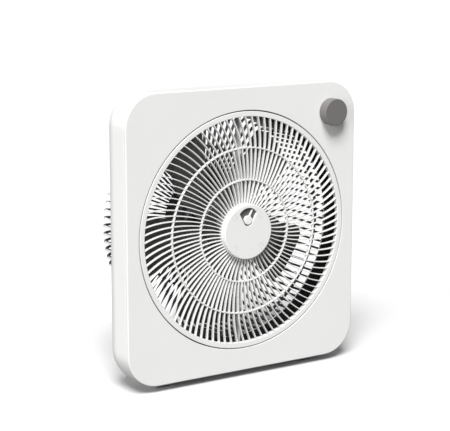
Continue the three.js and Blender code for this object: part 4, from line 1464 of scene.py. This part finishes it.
# ------------------------------------------------------------------ motor
# A small capacitor-run motor: two die-cast aluminium bells with cooling windows clamp a stack
# of steel laminations. Varnished copper coils stand out of the stack inside the bells.

MOTOR_RADIUS = 41
MOTOR_WALL = 2.5
BEARING_HOUSING = 10
BEARING_BORE = 7.3
WINDOWS = 10
WINDOW_NEAR = 17
WINDOW_FAR = 33
WINDOW_HALF = 9
COIL_BUMPS = 8
COIL_SWELL = 0.03
COIL_NEAR = 25.2
COIL_FAR = 34.9
COIL_ROUND = 2.2
ROTOR_RADIUS = 21.4
SLEEVE_RADIUS = 7
NOSE = 2
SLEEVE_LENGTH = 8

cast_alloy = metal("cast_alloy", (0.5, 0.5, 0.51), 0.45, 900.0, 1.0, 0.3, 0.04)
copper = metal("varnished_copper", (0.5, 0.2, 0.08), 0.3, 2600.0, 0.3, 0.35, 0.06)
lamination = metal("stacked_sheet", (0.2, 0.21, 0.22), 0.45, 2200.0, 8.0, 0.3, 0.06)


def motor_bell(name, node, plate_face, stack_face, nose_out, nose_in):
    """A cup with a bearing housing, with windows cut round its plate."""
    inward = 1 if stack_face > plate_face else -1
    plate = plate_face + inward * MOTOR_WALL
    inner = MOTOR_RADIUS - MOTOR_WALL
    bell = bmesh.new()
    profile = [(BEARING_BORE, nose_out, 0.3), (BEARING_HOUSING, nose_out, 0.6)]
    if nose_out != plate_face:
        profile.append((BEARING_HOUSING, plate_face, 0.8))
    profile += [
        (MOTOR_RADIUS, plate_face, 2.0),
        (MOTOR_RADIUS, stack_face, 0.2),
        (inner, stack_face, 0.2),
        (inner, plate, 1.0),
        (BEARING_HOUSING, plate, 0.8),
        (BEARING_HOUSING, nose_in, 0.4),
        (BEARING_BORE, nose_in, 0.3),
    ]
    turned(bell, profile, 96)
    windows = bmesh.new()
    low, high = sorted((plate_face - inward, plate + inward))
    for i in range(WINDOWS):
        middle = 360 * (i + 0.5) / WINDOWS
        arc = [polar(WINDOW_FAR, middle + turn) for turn in between(-WINDOW_HALF, WINDOW_HALF, 6)]
        arc += [polar(WINDOW_NEAR, middle + turn) for turn in between(WINDOW_HALF, -WINDOW_HALF, 6)]
        prism(windows, arc, low, high)
    bell = carved(bell, windows)
    piece(name, bell, cast_alloy, "casing", "cast_alloy", node)


bell_low, bell_high = extent("motor_bell_front")
nose = bell_low.y
motor_bell("front_bell", "motor_bell_front", nose + NOSE, bell_high.y, nose, nose + SLEEVE_LENGTH)
bell_low, bell_high = extent("motor_bell_rear")
nose = bell_high.y
motor_bell("back_bell", "motor_bell_rear", nose, bell_low.y, nose, nose - SLEEVE_LENGTH)


def coil_bulge(angle, depth):
    """Coils stand out of the ring in rounded heads."""
    return 1 + COIL_SWELL * abs(math.sin(math.radians(angle * COIL_BUMPS / 2)))


for name, node in (("front_coils", "winding_front"), ("back_coils", "winding_rear")):
    low, high = extent(node)
    coils = bmesh.new()
    ring = four_corners(COIL_NEAR, COIL_FAR, low.y, high.y, COIL_ROUND)
    turned(coils, ring, 160, flute=coil_bulge)
    piece(name, coils, copper, "casing", "copper", node)
hollow_ring(
    "rotor_stack", "motor_rotor", SHAFT_BORE, ROTOR_RADIUS, 0.4, lamination, "blade_wheel", "lamination"
)
for name, node in (("front_sleeve", "shaft_bushing_front"), ("back_sleeve", "shaft_bushing_rear")):
    hollow_ring(name, node, SHAFT_BORE, SLEEVE_RADIUS, 0.4, bronze, "casing", "bronze")
keep_cad(lamination, "motor_stator")
keep_cad(zinc, "motor_shaft", "drive_pin")

# ------------------------------------------------------------------ speed switch and capacitor
# The rotary switch is a moulded black block with a plain neck, two rows of flat terminals at its
# back and a zinc-plated nut. The motor's run capacitor is a black box filled with resin.

SWITCH_NECK = 4.7
SWITCH_BORE = 3.3
SWITCH_BORE_END = 8.3
TERMINAL_HALF = 1.6
TERMINAL_THIN = 0.4
TERMINAL_PITCH = 6
TERMINAL_ROW = 8
SPINDLE_RADIUS = 3
SPINDLE_FLAT = 2.1
SPINDLE_FLAT_LENGTH = 6

black_plastic = moulded("black_plastic", (0.03, 0.03, 0.032), 0.45, 1100, 0.02, mottle=0.1, rubbed=0.15)
low, high = extent("rotary_switch")
switch = bmesh.new()
neck_front, case_front = low.y, PANEL_PLATE + GAP
eased_block(switch, (low.x, case_front, low.z), (high.x, high.y - TERMINAL_THIN, high.z), 0.8)
for column in (-1, 0, 1):
    for row_sign in (-1, 1):
        x = (low.x + high.x) / 2 + TERMINAL_PITCH * column
        z = (low.z + high.z) / 2 + TERMINAL_ROW * row_sign
        corner = Vector((TERMINAL_HALF, 0, TERMINAL_THIN))
        eased_block(switch, Vector((x, high.y - 1, z)) - corner, Vector((x, high.y, z)) + corner, 0.15)
neck = bmesh.new()
neck_back = case_front + OVERRUN
neck_shape = [(0, neck_back), (SWITCH_NECK, neck_back), (SWITCH_NECK, neck_front, 0.4), (0, neck_front)]
turned(neck, neck_shape, 40, knob_x, knob_z)
switch = carved(switch, neck, "UNION")
bore = bmesh.new()
drill(bore, SWITCH_BORE, neck_front - OVERRUN, SWITCH_BORE_END, 32, knob_x, knob_z)
switch = carved(switch, bore)
piece("switch_case", switch, black_plastic, "casing", "black_plastic", "rotary_switch")
low, high = extent("capacitor")
case = bmesh.new()
eased_block(case, tuple(low), tuple(high), 1.2)
piece("run_capacitor", case, black_plastic, "casing", "black_plastic", "capacitor")
low, high = extent("switch_spindle")
spindle = bmesh.new()
rod = [(0, low.y), (SPINDLE_RADIUS, low.y, 0.5), (SPINDLE_RADIUS, high.y, 0.4), (0, high.y)]
turned(spindle, rod, 40, knob_x, knob_z)
flat = bmesh.new()
flat_low = (knob_x + SPINDLE_FLAT, low.y - OVERRUN, knob_z - SPINDLE_RADIUS - OVERRUN)
flat_high = (knob_x + 5, low.y + SPINDLE_FLAT_LENGTH, knob_z + SPINDLE_RADIUS + OVERRUN)
eased_block(flat, flat_low, flat_high, 0.1)
spindle = carved(spindle, flat)
piece("flatted_spindle", spindle, zinc, "knob", "bright_steel", "switch_spindle")
keep_cad(zinc, "switch_nut")

# ------------------------------------------------------------------ motor lead
# A round black sheathed lead leaves the motor, passes between two ribs of the basket and goes
# forward through the recessed wall to the switch.

LEAD = 2.2
LEAD_FACETS = 20
LEAD_STEPS = 6

lead_path = [
    (44.2, 105),
    (60, 108),
    (90, 109),
    (120, 108),
    (146, 100),
    (162, 86),
    (169.5, 64),
    (172, 44),
    (172, 34.6),
    (172, 29),
    (174.5, 24.8),
    (184, 23.6),
    (198, 23),
    (205, 21.3),
]


def eased_path(points, steps):
    """A smooth path through points, by Catmull and Rom's rule."""
    padded = [points[0], *points, points[-1]]
    path = []
    for i in range(len(points) - 1):
        p0, p1, p2, p3 = (Vector(p) for p in padded[i : i + 4])
        slope, bend, twist = p2 - p0, 2 * p0 - 5 * p1 + 4 * p2 - p3, 3 * p1 - p0 - 3 * p2 + p3
        for t in between(0, 1, steps)[:-1]:
            path.append(0.5 * (2 * p1 + slope * t + bend * t**2 + twist * t**3))
    return path + [Vector(points[-1])]


lead = bmesh.new()
out = Vector(polar(1, LEAD_ANGLE))
side = Vector((-out.y, out.x))
rows = []
path = eased_path(lead_path, LEAD_STEPS)
for i, here in enumerate(path):
    along = (path[min(i + 1, len(path) - 1)] - path[max(i - 1, 0)]).normalized()
    normal = Vector((-along.y, along.x))
    row = []
    for k in range(LEAD_FACETS):
        across, deep = polar(LEAD, 360 * k / LEAD_FACETS)
        place = out * (here.x + normal.x * deep) + side * across
        row.append((place.x, here.y + normal.y * deep, place.y))
    rows.append(row)
skin(lead, rows, capped=True)
piece("sheathed_lead", lead, black_plastic, "casing", "black_plastic", "motor_lead")

# ------------------------------------------------------------------ screws
# Zinc-plated steel screws with a pan head, a cross recess and a coarse rolled thread. They are
# driven from behind: four in the case, four in the basket, four in the motor and two in the bridge.

SCREW_HEAD = 3.6
SCREW_HEAD_HEIGHT = 2.4
SCREW_SHANK = 1.5
THREAD_ROOT = 1.2
THREAD_PITCH = 0.8
CROSS_REACH = 2.1
CROSS_HALF = 0.45
CROSS_DEPTH = 1.3
THREAD_START = 0.6
NECK_LENGTH = 0.2
HEAD_ROUND = 1
HEAD_CROWN = 0.6
HEAD_TOP_INSET = 1.6

screw_nodes = [f"{kind}_screw_{i}" for kind in ("case", "grille", "motor") for i in range(1, 5)]
screw_nodes += ["bridge_screw_top", "bridge_screw_bottom"]
for node in screw_nodes:
    low, high = extent(node)
    x, z = (low.x + high.x) / 2, (low.z + high.z) / 2
    tip, top = low.y, high.y
    seat = top - SCREW_HEAD_HEIGHT
    profile = [(0, tip), (THREAD_ROOT / 2, tip)]
    turns_of_thread = int((seat - tip - 1) / THREAD_PITCH)
    for i in range(turns_of_thread):
        depth = tip + THREAD_START + i * THREAD_PITCH
        profile += [(THREAD_ROOT, depth), (SCREW_SHANK, depth + THREAD_PITCH / 2)]
    profile += [(THREAD_ROOT, seat - NECK_LENGTH), (THREAD_ROOT, seat)]
    head = [
        (1, seat),
        (SCREW_HEAD, seat, 0.2),
        (SCREW_HEAD, top - HEAD_CROWN, HEAD_ROUND),
        (SCREW_HEAD - HEAD_TOP_INSET, top, HEAD_ROUND),
        (0, top),
    ]
    profile += soft_corners(head)[1:]
    screw = bmesh.new()
    turned(screw, profile, 28, x, z)
    for angle in (0, 90):
        cross = bmesh.new()
        reach, wide = (CROSS_REACH, CROSS_HALF) if angle == 0 else (CROSS_HALF, CROSS_REACH)
        corners = four_corners(x - reach, x + reach, z - wide, z + wide, 0)
        prism(cross, [corner[:2] for corner in corners], top - CROSS_DEPTH, top + OVERRUN)
        screw = carved(screw, cross)
    piece(f"{node}_steel", screw, zinc, "casing", "bright_steel", node)

# ------------------------------------------------------------------ size
# This model's box.

low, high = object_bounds()
